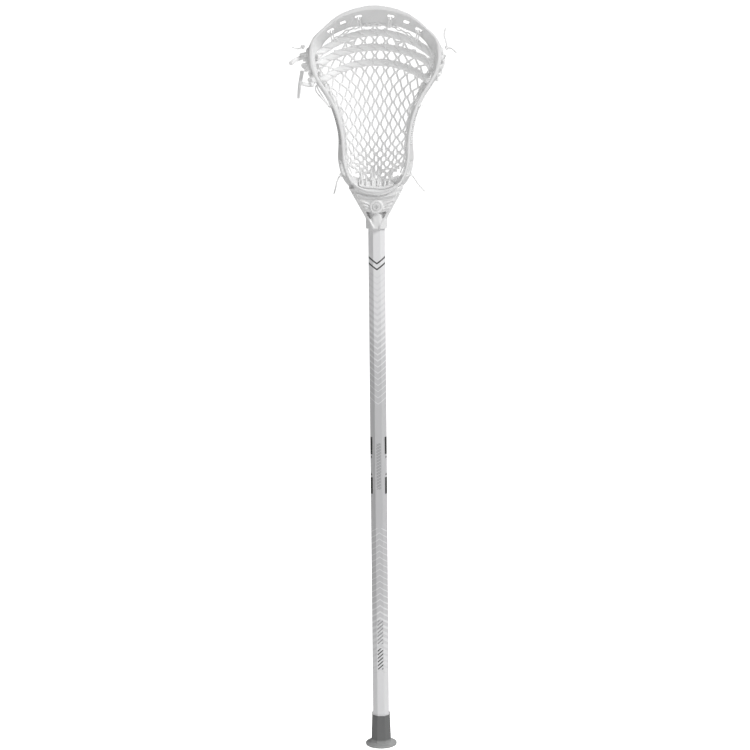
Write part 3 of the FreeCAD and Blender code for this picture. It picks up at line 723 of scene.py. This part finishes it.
def side_lugs(surface):
    """Rounded string lugs along both outer rails, near the widest part of the head."""
    lugs = []
    for side in (-1, 1):
        for drop in LUG_DROPS:
            wall = wall_at(surface, side, 8 * MM, HEAD_HIGH.z - drop * MM)
            lugs.append([(wall.x - side * 1.2 * MM, y * MM, wall.z) for y in LUG_DEPTHS])
    return lugs


class STICK_OT_head(bpy.types.Operator):
    """Moulded head: softened edges, relief lines, lugs and grip ribs"""
    bl_idname = "stick.head"
    bl_label = "Head"

    def execute(self, context):
        chosen = settings("plastic")
        head = merged_copy("head_frame", "moulded_head")
        surface = surface_of(head)
        extra = [bead_mesh(*ridge) for ridge in throat_ridges(surface) + scoop_lines(surface)
                 if len(ridge[0]) > 2]
        extra += [cord("lug", [route], None, LUG_WIDTH * MM, pitch=NO_TWIST, spacing=1.5 * MM)
                  for route in side_lugs(surface)]
        with context.temp_override(active_object=head, selected_editable_objects=[head] + extra,
                                   selected_objects=[head] + extra, object=head):
            bpy.ops.object.join()
        coarse = 1.0
        melted(head, chosen.soften * coarse, 5)
        triangles = 2 * len(head.data.polygons)
        if triangles > TRIANGLE_LIMIT:
            thin = head.modifiers.new("thin", "DECIMATE")
            thin.ratio = TRIANGLE_LIMIT / triangles
            finished(head)
        head.data.shade_smooth()
        nylon, _tree, shader = grained("white nylon", chosen.nylon, 2600.0, 0.36, 0.05, 0.00003)
        shader.inputs["Specular IOR Level"].default_value = 0.45
        head.data.materials.clear()
        wear(head, nylon)
        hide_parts("head_frame")
        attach(head, STICK)

        places, leans = [], []
        for side in (-1, 1):
            for step in range(RIB_COUNT):
                z = HEAD_HIGH.z - (RIB_DROP + RIB_STEP * step) * MM
                front, middle, back = (wall_at(surface, side, y * MM, z)
                                       for y in (RIB_FRONT, RIB_MIDDLE, RIB_BACK))
                places.append(middle + Vector((side * 0.3 * MM, 0, 0)))
                leans.append((0, 0, math.atan2(back.x - front.x, front.y - back.y)))
        ribs = beads("grip_ribs", places, leans, [size * MM for size in RIB_SIZE], nylon)
        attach(ribs, STICK)
        return {"FINISHED"}


# ------------------------------------------------------------------ shaft, cap and small parts
# Print on the tube, in metres. Pairs are the low and high end of a band of heights.
GREY_RISES, GREY_FADES, PLAIN_BAND = (0.095, 0.240), (0.500, 0.664), (0.312, 0.483)
# Bands of chevrons: low end, high end, and 1 where the points look down or -1 for up.
CHEVRON_BANDS = ((0.483, 0.662, 1), (0.106, 0.312, -1))
TOP_LINES = ((0.6739, 0.6761), (0.6659, 0.6681))
BARS, BAR_INSIDE = ((0.414, 0.438), (0.359, 0.382)), 0.0083
DIAMONDS, DIAMOND_ASIDE = (0.410, 0.386), 0.0099
DIAMOND_HALF_WIDTH, DIAMOND_HALF_HEIGHT = 0.0010, 0.0019
# The column of strokes and the two patches of hatching: slope, pitch and half width.
STROKES, STROKE_BAND = (0.55, 0.0044, 0.0031), (0.366, 0.430)
HATCHES, GREY_HATCH_BAND, INK_HATCH_BAND = (0.9, 0.0052, 0.0038), (0.148, 0.182), (0.112, 0.142)
STROKE_GREY = (0.30, 0.30, 0.31)
# Painted highlight: the cap's foot is paler up to these heights, and this much paler than the
# sleeve.
FOOT_HIGHLIGHT_BAND, FOOT_HIGHLIGHT_GAIN = (0.0075, 0.0115), 1.95


def bent(tree, sideways, height, slope):
    """Height counted from a line that climbs sideways."""
    return tree.math("SUBTRACT", height, tree.math("MULTIPLY", sideways, slope))


def stripe(tree, sideways, height, slope, pitch):
    """Place within one stripe of a slanted pattern, from 0 to 1."""
    return tree.math("FRACT", tree.math("DIVIDE", bent(tree, sideways, height, slope), pitch))


def chevrons(tree, across, height, slope, pitch, duty):
    """1 inside a repeating chevron. A positive slope puts the points downwards."""
    share = stripe(tree, across, height, slope, pitch)
    edge = tree.node("ShaderNodeMapRange", {0: tree.math("SUBTRACT", duty, share), 1: -0.04,
                                            2: 0.04})
    return edge.outputs[0]


def band(tree, value, low, high):
    """1 between two values, 0 elsewhere."""
    above = tree.math("GREATER_THAN", value, low)
    return tree.math("MULTIPLY", above, tree.math("LESS_THAN", value, high))


def edge_marks(tree, across, height, rise):
    """Masks of the pointed lines at the top, and of the bars and diamonds at the edges."""
    pointed = bent(tree, across, height, rise)
    outside = tree.math("GREATER_THAN", across, BAR_INSIDE)
    marks = [band(tree, pointed, *line) for line in TOP_LINES]
    marks += [tree.math("MULTIPLY", outside, band(tree, height, *bar)) for bar in BARS]
    for middle in DIAMONDS:
        off = tree.math("ABSOLUTE", tree.math("SUBTRACT", height, middle))
        aside = tree.math("ABSOLUTE", tree.math("SUBTRACT", across, DIAMOND_ASIDE))
        reach = tree.math("ADD", tree.math("DIVIDE", off, DIAMOND_HALF_HEIGHT),
                          tree.math("DIVIDE", aside, DIAMOND_HALF_WIDTH))
        marks.append(tree.math("LESS_THAN", reach, 1.0))
    return marks


class STICK_OT_shaft(bpy.types.Operator):
    """Printed finish of the tube"""
    bl_idname = "stick.shaft"
    bl_label = "Shaft"

    def execute(self, context):
        chosen = settings("paint")
        material, tree, shader = grained("printed satin paint", chosen.white, 3000.0, 0.34,
                                         0.04, 0.00002, dark=0.96)
        place = tree.node("ShaderNodeSeparateXYZ", {0: tree.object_place()}).outputs
        sideways, height = place[0], place[2]
        across = tree.math("ABSOLUTE", sideways)
        grey = tree.math("MULTIPLY", tree.ramp(height, *GREY_RISES),
                         tree.math("SUBTRACT", 1.0, tree.ramp(height, *GREY_FADES)))
        # The chevrons grow thicker where the tube is greyer.
        duty = tree.math("MULTIPLY_ADD", grey, 0.62, 0.26)
        printed = band(tree, height, *PLAIN_BAND)
        for low, high, way in CHEVRON_BANDS:
            points = chevrons(tree, across, height, way * chosen.rise, chosen.pitch, duty)
            points = tree.math("MULTIPLY", points, band(tree, height, low, high))
            printed = tree.math("MAXIMUM", printed, points)
        depth = tree.math("MULTIPLY", printed, tree.math("MULTIPLY_ADD", grey, 0.80, 0.20))
        base = tree.mix(depth, own_colour(shader), rgba(chosen.grey))

        # A column of slanted strokes, one thin and one thick, runs down the plain grey.
        slope, pitch, half = STROKES
        slant = stripe(tree, sideways, height, slope, pitch)
        strokes = tree.math("ADD", tree.math("LESS_THAN", slant, 0.26),
                            band(tree, slant, 0.40, 0.66))
        strokes = tree.chain("MULTIPLY", strokes, tree.math("LESS_THAN", across, half),
                             band(tree, height, *STROKE_BAND))
        base = tree.mix(tree.math("MULTIPLY", strokes, 0.95), base, rgba(STROKE_GREY))
        # Two patches of slanted hatching lie near the butt, the upper one in grey.
        slope, pitch, half = HATCHES
        hatch = tree.math("LESS_THAN", stripe(tree, sideways, height, slope, pitch), 0.36)
        hatch = tree.math("MULTIPLY", hatch, tree.math("LESS_THAN", across, half))
        base = tree.mix(tree.math("MULTIPLY", hatch, band(tree, height, *GREY_HATCH_BAND)),
                        base, rgba(STROKE_GREY))
        marks = edge_marks(tree, across, height, chosen.rise)
        marks.append(tree.math("MULTIPLY", hatch, band(tree, height, *INK_HATCH_BAND)))
        marked = tree.math("MINIMUM", tree.chain("ADD", *marks), 1.0)
        tree.feed(shader.inputs["Base Color"], tree.mix(marked, base, rgba(chosen.ink)))
        shader.inputs["Coat Weight"].default_value = 0.25
        shader.inputs["Coat Roughness"].default_value = 0.25
        wear(NODES["shaft_tube"], material)
        return {"FINISHED"}


class STICK_OT_fittings(bpy.types.Operator):
    """Rubber butt cap, head screw and foam ball stop"""
    bl_idname = "stick.fittings"
    bl_label = "Cap, screw and pad"

    def execute(self, context):
        chosen = settings("plastic")
        cap = merged_copy("butt_cap", "rubber_cap")
        round_over = cap.modifiers.new("round", "BEVEL")
        round_over.width = 0.6 * MM
        round_over.segments = 3
        round_over.limit_method = "ANGLE"
        round_over.angle_limit = math.radians(28)
        finished(cap)
        cap.data.shade_smooth()
        rubber, tree, shader = grained("grey rubber", chosen.rubber, 1500.0, 0.55, 0.30,
                                        0.00008, dark=0.75)
        shader.inputs["Specular IOR Level"].default_value = 0.4
        # Painted highlight: the foot is paler than the sleeve.
        height = tree.node("ShaderNodeSeparateXYZ", {0: tree.object_place()}).outputs[2]
        foot_highlight = tree.math("SUBTRACT", 1.0, tree.ramp(height, *FOOT_HIGHLIGHT_BAND))
        tree.feed(shader.inputs["Base Color"],
                  tree.mix(foot_highlight, own_colour(shader), rgba(chosen.rubber, FOOT_HIGHLIGHT_GAIN)))
        cap.data.materials.clear()
        wear(cap, rubber)
        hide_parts("butt_cap")
        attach(cap, CAP)

        enamel, _tree, shader = grained("white enamelled steel", (0.74, 0.74, 0.74), 4000.0,
                                        0.35, 0.10, 0.00003)
        shader.inputs["Coat Weight"].default_value = 0.3
        wear(NODES["head_screw"], enamel)

        pad = merged_copy("ball_stop_pad", "foam_ball_stop")
        melted(pad, 0.7 * MM, 6)
        pad.data.shade_smooth()
        foam, _tree, shader = grained("white foam", (0.84, 0.84, 0.84), 2200.0, 0.9, 0.30,
                                      0.0002, dark=0.90)
        shader.inputs["Sheen Weight"].default_value = 0.2
        pad.data.materials.clear()
        wear(pad, foam)
        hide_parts("ball_stop_pad")
        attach(pad, STICK)
        return {"FINISHED"}


# ------------------------------------------------------------------ strung pieces
# Each cord finish: yarns round the cord, stitch length, height of the weave, and its painted
# glow, which keeps the cord pale in shade.
CORD_FINISHES = {"knitted mesh cord": (3.0, 0.0016, 0.00012, 0.29),
                 "woven lace": (9.0, 0.0011, 0.00018, 0.27),
                 "braided nylon string": (4.0, 0.0013, 0.00010, 0.30)}
BOW_TURN = 0.872
ROW_STEP, ROW_CROWD = 10.3, 6.0
COLUMN_STEP, COLUMNS = 7.4, 13
# Below this height the mesh crowds at the throat, and its knuckles are drawn up larger.
CROWDED = 0.822
KNUCKLE_SIZES = {"mesh_knuckles": (1.9, 1.2, 1.3), "throat_knuckles": (2.3, 1.7, 1.7)}


def weave_kinds():
    """The three cord finishes, made once."""
    fibre = settings("cords").fibre
    return {name: bpy.data.materials.get(name) or fibre_material(name, fibre, *sizes)
            for name, sizes in CORD_FINISHES.items()}


def bow(z):
    """How much lower a row of the mesh lies at the rails than in the middle."""
    return (0.30 if z > BOW_TURN else 0.13) * (z - BOW_TURN)


def below(z, start, span):
    """0 down to a height, rising to 1 at a span below it."""
    return min(1.0, max(0.0, (start - z) / span))


class Weave:
    """The mesh's rows and columns, and the depth of its face."""

    def __init__(self):
        self.pocket = surface_of(NODES["mesh_pocket"])
        self.head = surface_of(NODES["head_frame"])
        self.rows = []
        z = NET_HIGH.z + 8 * MM
        while z > NET_LOW.z - 3 * MM:
            self.rows.append(z)
            z -= (ROW_STEP - ROW_CROWD * below(z, 0.862, 0.072)) * MM

    def half(self, z):
        """Half the mesh's width; it closes in an arc at the scoop."""
        low, high = NET_LOW.z + 2 * MM, NET_HIGH.z - 12 * MM
        reach = rail_half(self.head, min(max(z, low), high))
        if z > high:
            fall = (z - high) / (NET_HIGH.z + 12 * MM - high)
            reach *= math.sqrt(max(0.02, 1 - min(1, fall) ** 2))
        return reach

    def height(self, x, row_z):
        """Height of a row at a distance from the middle."""
        share = min(1.0, abs(x) / self.half(row_z))
        return row_z - bow(row_z) * share ** 2

    def face(self, x, z):
        """Depth of the mesh; past its edge, the depth of the edge, in front of the scoop."""
        inside = min(max(z, NET_LOW.z + 0.6 * MM), NET_HIGH.z - 0.6 * MM)
        depth = NET_LOW.y
        for pull in (1.0, 0.96, 0.9, 0.8, 0.65):
            y = depth_at(self.pocket, x * pull, inside, start=0.0)
            if y is not None:
                depth = y + 0.9 * MM
                break
        scoop = depth_at(self.head, x, z) if z > NET_HIGH.z - 6 * MM else None
        return min(depth, scoop - 1.4 * MM) if scoop else depth

    def column_x(self, column, z):
        """Distance of a column from the middle; columns close up towards the throat."""
        wide = COLUMN_STEP - 1.5 * below(z, 0.945, 0.045)
        return column * (wide - 1.1 * below(z, 0.850, 0.060)) * MM


class STICK_OT_mesh(bpy.types.Operator):
    """Knitted mesh: cords that meet at knuckles in a diamond lattice"""
    bl_idname = "stick.mesh"
    bl_label = "Mesh pocket"

    def execute(self, context):
        chosen = settings("cords")
        kinds = weave_kinds()
        weave = Weave()
        dice = random.Random(7)
        radius = chosen.mesh_cord / 2
        nodes = {}
        for row, row_z in enumerate(weave.rows):
            loose = 0.35 + below(row_z, 0.850, 0.05)
            for column in range(-COLUMNS, COLUMNS + 1):
                if (column + row) % 2:
                    continue
                x = weave.column_x(column, row_z) + dice.uniform(-loose, loose) * MM
                z = weave.height(x, row_z) + dice.uniform(-loose, loose) * MM
                y = dice.uniform(0, loose) * MM
                nodes[column, row] = (x, y, z)
        routes, knuckles = [], []
        for strand in range(-COLUMNS, COLUMNS):
            route, last_inside = [], False
            for row in range(len(weave.rows)):
                left = (strand + row) % 2 == 0
                column = strand if left else strand + 1
                x, lift, z = nodes[column, row]
                reach = weave.half(weave.rows[row]) - 0.5 * MM
                inside = abs(x) < reach
                if not inside:
                    x = math.copysign(reach + 0.8 * MM, x)
                if inside or last_inside:
                    if not route and row and not last_inside:
                        # A cord that comes in at the rail starts on the rail itself.
                        before = nodes[strand + 1 if left else strand, row - 1]
                        edge_x = math.copysign(weave.half(weave.rows[row - 1]), before[0])
                        if abs(edge_x - x) < 9 * MM:
                            route.append((edge_x, weave.face(edge_x, before[2]), before[2]))
                    # Two cords lie side by side through a knuckle.
                    aside = (0.80 if left else -0.80) * radius if inside else 0.0
                    for rise in (1.3 * MM, -1.3 * MM):
                        place_x, place_z = x + aside, z + rise
                        route.append((place_x, weave.face(place_x, place_z) + lift, place_z))
                if (not inside and route) or row == len(weave.rows) - 1:
                    if len(route) > 3:
                        routes.append(route)
                    route = []
                last_inside = inside
        for (column, row), (x, lift, z) in nodes.items():
            if abs(x) < weave.half(weave.rows[row]) - 1.5 * MM:
                knuckles.append((x, weave.face(x, z) + lift, z))
        net = cord("mesh_cords", routes, kinds["knitted mesh cord"], chosen.mesh_cord,
                   0.82 * chosen.mesh_cord, pitch=4.5 * MM, spacing=1.0 * MM, sides=7)
        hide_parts("mesh_pocket")
        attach(net, STICK)
        for name, sizes in KNUCKLE_SIZES.items():
            places = [place for place in knuckles
                      if (place[2] < CROWDED) == (name == "throat_knuckles")]
            leans = [(0, dice.uniform(-0.5, 0.5), 0) for _ in places]
            wraps = beads(name, places, leans, [share * chosen.mesh_cord for share in sizes],
                          kinds["knitted mesh cord"])
            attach(wraps, STICK)
        return {"FINISHED"}


def trefoil(centre, scale, turn):
    """Route of a small overhand knot."""
    route = []
    for step in range(25):
        t = 2 * math.pi * step / 24
        x, y = math.sin(t) + 2 * math.sin(2 * t), math.cos(t) - 2 * math.cos(2 * t)
        place = Matrix.Rotation(turn, 3, "Z") @ Vector((x, -1.2 * math.sin(3 * t), y))
        route.append(Vector(centre) + place * scale)
    return route


# A shooting lace: steps of half its run, the share over which it dips from the rail to the
# mesh, and its plies as shares of the lace's width.
LACE_STEPS, LACE_DIP = 22, 0.16
PLY_WIDTH, PLY_THICKNESS = 1.40, 0.82
# Drops of the knots outside the left sidewall, in millimetres.
KNOT_DROPS = (3.5, 17.0, 36.0)


def lace_route(weave, index, low, high):
    """Line of a shooting lace: it bows downwards and lies in front of the mesh."""
    radius = 3.7 * MM
    top, end = high[2] - radius, low[2] + radius
    route = []
    for step in range(-LACE_STEPS, LACE_STEPS + 1):
        share = step / LACE_STEPS
        x = share * high[0]
        z = top + (end - top) * share ** 2
        face = weave.face(x, z) - 1.2 * MM
        hang = min(1.0, (1 - abs(share)) / LACE_DIP)
        y = 3 * MM * (1 - hang) + face * hang
        route.append((x, y + 0.8 * MM * math.sin(share * 19 + index), z))
    return route


def tie_routes(weave, side, top_z):
    """Knots outside a sidewall, then the lace that runs down the wall past them."""
    ties = []
    for drop in KNOT_DROPS if side < 0 else ():
        wall = wall_at(weave.head, side, 3 * MM, top_z - drop * MM)
        ties.append(trefoil(wall + Vector((side * 2.4 * MM, 0, 0)), 1.8 * MM, 0.6))
    run = []
    for step in range(13):
        z = top_z - (4 + 2.75 * step) * MM
        wall = wall_at(weave.head, side, 2 * MM, z)
        bulge = 0.8 + 1.1 * math.cos(step * 1.6)
        run.append((wall.x + side * bulge * MM, 2 * MM + 3 * MM * math.sin(step), z))
    return ties + [run]


class STICK_OT_laces(bpy.types.Operator):
    """Three twisted shooting laces, and how they are tied off outside the sidewalls"""
    bl_idname = "stick.laces"
    bl_label = "Shooting laces"

    def execute(self, context):
        chosen = settings("cords")
        kinds = weave_kinds()
        weave = Weave()
        for index, name in enumerate(("upper", "middle", "lower")):
            node = "shooting_lace_" + name
            route = lace_route(weave, index, *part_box(node))
            lace = cord("twisted_" + name + "_lace", [route, route], kinds["woven lace"],
                        PLY_WIDTH * chosen.lace_width, PLY_THICKNESS * chosen.lace_width,
                        pitch=34 * MM, wind=2.7 * MM,
                        phases=(0.7 * index, 0.7 * index + math.pi), sides=12)
            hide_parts(node)
            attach(lace, STICK)
        for side, name in SIDES:
            node = "lace_knots_" + name
            knots = cord("lace_ties_" + name, tie_routes(weave, side, corners(node)[1].z),
                         kinds["woven lace"], 0.84 * chosen.lace_width,
                         0.52 * chosen.lace_width, pitch=25 * MM, spacing=0.7 * MM, sides=10)
            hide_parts(node)
            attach(knots, STICK)
        return {"FINISHED"}


# Slack loop outside the left wall: heights in metres, and the share of its slack at each.
SLACK_LOOP, SLACKS = ((0.911, None), (0.906, 1.0), (0.894, 0.8), (0.881, None)), (8.5, 4.0)
# Slack ends of the throat string: distance from the middle and height over the foam.
THROAT_ENDS = ((-14, 15), (-5, 24), (-2, 22), (2.5, 24), (5.5, 21), (13, 16), (19, 20),
               (-20, 19))
EDGE_STEPS, LOOP_EVERY = 46, 6


def scoop_routes(weave):
    """Two strings that wave along the scoop, and the pairs that go through its slots."""
    routes = []
    for offset, phase in ((0.0, 0.0), (-1.6 * MM, math.pi)):
        route = []
        for step in range(-26, 27):
            share = step / 26
            x = share * (NET_HIGH.x - 8 * MM)
            z = NET_HIGH.z + 10.5 * MM - 31 * MM * share ** 2 + offset
            wave = 1.3 * MM * math.sin(step * 1.15 + phase)
            route.append((x, weave.face(x, z) - 1.0 * MM + wave, z + wave))
        routes.append(route)
    for slot in SCOOP_SLOTS:
        slot_x, slot_z = slot_place(*slot)
        for side in (-1, 1):
            x = side * slot_x
            front = depth_at(weave.head, x + 6 * MM, slot_z) or 0.0
            low_z = slot_z - 15 * MM
            for lead in (-1.5 * MM, 1.5 * MM):
                routes.append([
                    (x + lead - side * 2 * MM, weave.face(x, low_z) - 1.5 * MM, low_z),
                    (x + lead - side * MM, front + 6 * MM, slot_z - 8 * MM),
                    (x + lead, front - 0.5 * MM, slot_z - 2.5 * MM),
                    (x + lead, front + 1.0 * MM, slot_z),
                    (x + lead, front + 8.0 * MM, slot_z + 0.3 * MM),
                    (x + lead, BACK_Y - 4 * MM, slot_z - 1 * MM)])
    return routes


def sidewall_routes(weave, side, low_z, high_z):
    """The string along one rail, and its loops round the back of the rail."""
    route, loops = [], []
    for step in range(EDGE_STEPS + 1):
        z = low_z + (high_z + 3 * MM - low_z) * step / EDGE_STEPS
        x = weave.half(z) - 0.8 * MM
        wave = math.sin(step * 1.4)
        route.append((side * (x - 0.8 * MM * (1 + wave)),
                      NET_LOW.y + 1.6 * MM + 1.4 * MM * wave, z))
        if step % LOOP_EVERY == LOOP_EVERY // 2:
            edge, inner, outer = (side * (x + out * MM) for out in (-2, 1.5, 9.0))
            back, lift = BACK_Y + 1.4 * MM, 1.6 * MM
            loops.append([(edge, NET_LOW.y, z - lift), (inner, back, z - lift),
                          (outer, back, z), (inner, back + 0.3 * MM, z + lift),
                          (edge, NET_LOW.y, z + lift)])
    return [route] + loops


def slack_loops(weave, side):
    """Slack that stands out from the wall below the lowest lace's knot."""
    loops = []
    for slack in SLACKS:
        outs = [(z, 1.0 if share is None else share * slack) for z, share in SLACK_LOOP]
        loops.append([wall_at(weave.head, side, 11 * MM, z) + Vector((side * out * MM, 0, 0))
                      for z, out in outs])
    return loops


def throat_routes(weave):
    """Two strings across the throat, and slack ends that hook round the throat's lip."""
    low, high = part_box("bottom_string")
    routes = []
    for offset in (0.0, 2.6 * MM):
        route = []
        for step in range(-12, 13):
            share = step / 12
            z = low[2] + 1.1 * MM + (high[2] - low[2] - 2 * MM) * share ** 2 + offset
            y = BACK_Y + 1.2 * MM + 0.8 * MM * math.sin(step * 2.2 + offset)
            route.append((share * high[0], y, z))
        routes.append(route)
    floor_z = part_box("ball_stop_pad")[0][2]
    for x, high_z in THROAT_ENDS:
        x *= MM
        rise = 5.5 * MM + (x / 0.020) ** 2 * 3 * MM
        routes.append([(x, weave.face(x, floor_z + high_z * MM) - 1.5 * MM,
                        floor_z + high_z * MM),
                       (0.95 * x, BACK_Y - 9 * MM, floor_z + 0.45 * high_z * MM),
                       (0.92 * x, -4 * MM, floor_z + rise + 2 * MM),
                       (0.90 * x, -21 * MM, floor_z + rise)])
    return routes


class STICK_OT_strings(bpy.types.Operator):
    """Nylon strings that tie the mesh to the scoop, the sidewalls and the throat"""
    bl_idname = "stick.strings"
    bl_label = "Edge strings"

    def execute(self, context):
        weave = Weave()
        string = weave_kinds()["braided nylon string"]
        width = settings("cords").string_diameter
        top = cord("top_stringing", scoop_routes(weave), string, width, 0.85 * width,
                   pitch=4 * MM, spacing=0.9 * MM)
        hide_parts("top_string")
        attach(top, STICK)

        for side, name in SIDES:
            node = "side_string_" + name
            low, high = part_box(node)
            routes = sidewall_routes(weave, side, low[2], high[2])
            if side < 0:
                routes += slack_loops(weave, side)
            edge = cord("sidewall_stringing_" + name, routes, string, width, 0.85 * width,
                        pitch=4 * MM, spacing=0.9 * MM)
            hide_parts(node)
            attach(edge, STICK)

        bottom = cord("throat_stringing", throat_routes(weave), string, 1.25 * width,
                      1.1 * width, pitch=4 * MM)
        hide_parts("bottom_string")
        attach(bottom, STICK)

        for name in ("top_left", "top_right", "bottom_left", "bottom_right"):
            low, high = corners("knot_" + name)
            knot = cord("tied_knot_" + name, [trefoil((low + high) / 2, 0.78 * MM, 0.4)],
                        string, width, 0.85 * width, pitch=4 * MM, spacing=0.5 * MM)
            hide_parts("knot_" + name)
            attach(knot, STICK)
        return {"FINISHED"}


# Routes of the loose ends, in millimetres, by the node that each one replaces.
LOOSE_STRINGS = {
    "tail_top_left": [(-96.6, 12.2, 960.6), (-99.0, 2.5, 959.6), (-102.5, -8.0, 960.2),
                      (-107.5, -17.5, 963.0)],
    "tail_top_right_upper": [(95.0, 12.8, 960.6), (93.4, 5.5, 969.0), (90.0, -3.0, 976.0),
                             (93.0, -9.5, 985.5)],
    "tail_top_right_lower": [(97.2, 12.6, 957.6), (99.8, 2.5, 958.6), (102.8, -8.0, 957.0),
                             (106.8, -17.5, 953.5)],
    "tail_bottom_left": [(-48.6, 20.6, 788.2), (-52.0, 12.0, 783.5), (-53.5, 1.5, 776.0),
                         (-56.0, -7.5, 768.0)],
    "tail_bottom_right": [(48.7, 20.7, 788.3), (52.5, 11.5, 783.5), (58.0, 2.0, 776.0),
                          (64.5, -5.5, 770.5)],
}
LOOSE_LACES = {
    "lace_end_upper": [(-97.0, 1.0, 947.6), (-102.0, -9.5, 946.8), (-106.5, -21.5, 945.0),
                       (-110.0, -33.5, 943.0)],
    "lace_end_middle": [(-95.9, 0.5, 930.6), (-98.0, -4.0, 919.5), (-100.2, -7.0, 907.5),
                        (-101.0, -8.5, 895.0)],
    "lace_end_lower": [(-82.6, 1.0, 911.8), (-87.2, -10.5, 912.6), (-91.5, -22.0, 914.5),
                       (-96.5, -33.5, 917.5)],
}


# The lace end that hangs beside the wall shows its flat side, and is thinner than the rest.
HANGING = "lace_end_middle"


class STICK_OT_loose_ends(bpy.types.Operator):
    """Loose tails of the nylon strings and of the shooting laces"""
    bl_idname = "stick.loose_ends"
    bl_label = "Loose ends"

    def execute(self, context):
        chosen = settings("cords")
        kinds = weave_kinds()
        for node, points in {**LOOSE_STRINGS, **LOOSE_LACES}.items():
            route = [Vector(point) * MM for point in points]
            path = [vertex.co.copy() for vertex in lines(node + "_line", [route]).vertices]
            if node in LOOSE_STRINGS:
                across = chosen.string_diameter
                share, fibre, finish, pitch = 0.88, "braided nylon string", "nylon_string", 4 * MM
            else:
                across = chosen.lace_width
                share = 0.42 if node == HANGING else 0.80
                fibre, finish, pitch = "woven lace", "lace_weave", 0.4
            turn = math.pi / 2 if node == HANGING else 0.0
            loose = cord(node + "_loose", [route], kinds[fibre], across, share * across,
                         pitch=pitch, spacing=0.6 * MM, sides=12, phases=(turn,))
            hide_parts(node)
            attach(loose, STICK)
        return {"FINISHED"}


# ------------------------------------------------------------------ panel and registration
class STICK_PT_panel(bpy.types.Panel):
    """Lists the stick's pieces"""
    bl_idname = "STICK_PT_panel"
    bl_label = "Lacrosse Stick"
    bl_space_type = "VIEW_3D"
    bl_region_type = "UI"
    bl_category = "Stick"

    def draw(self, context):
        for kind in OPERATORS:
            self.layout.operator(kind.bl_idname)
        for name in SETTINGS:
            group = settings(name)
            for key in group.__annotations__:
                self.layout.prop(group, key)


SETTINGS = {"stage": StageSettings, "paint": PaintSettings, "plastic": PlasticSettings,
            "cords": CordSettings}
OPERATORS = [STICK_OT_stage, STICK_OT_loose_ends, STICK_OT_head, STICK_OT_shaft,
             STICK_OT_fittings, STICK_OT_mesh, STICK_OT_laces, STICK_OT_strings]


def register():
    for kind in [*SETTINGS.values(), *OPERATORS, STICK_PT_panel]:
        bpy.utils.register_class(kind)
    for name, kind in SETTINGS.items():
        setattr(bpy.types.Scene, "stick_" + name, bpy.props.PointerProperty(type=kind))


def unregister():
    for name in SETTINGS:
        delattr(bpy.types.Scene, "stick_" + name)
    for kind in [STICK_PT_panel, *OPERATORS[::-1], *SETTINGS.values()]:
        bpy.utils.unregister_class(kind)


def main():
    register()
    for kind in OPERATORS:
        group, name = kind.bl_idname.split(".")
        getattr(getattr(bpy.ops, group), name)()


if __name__ == "__main__":
    main()
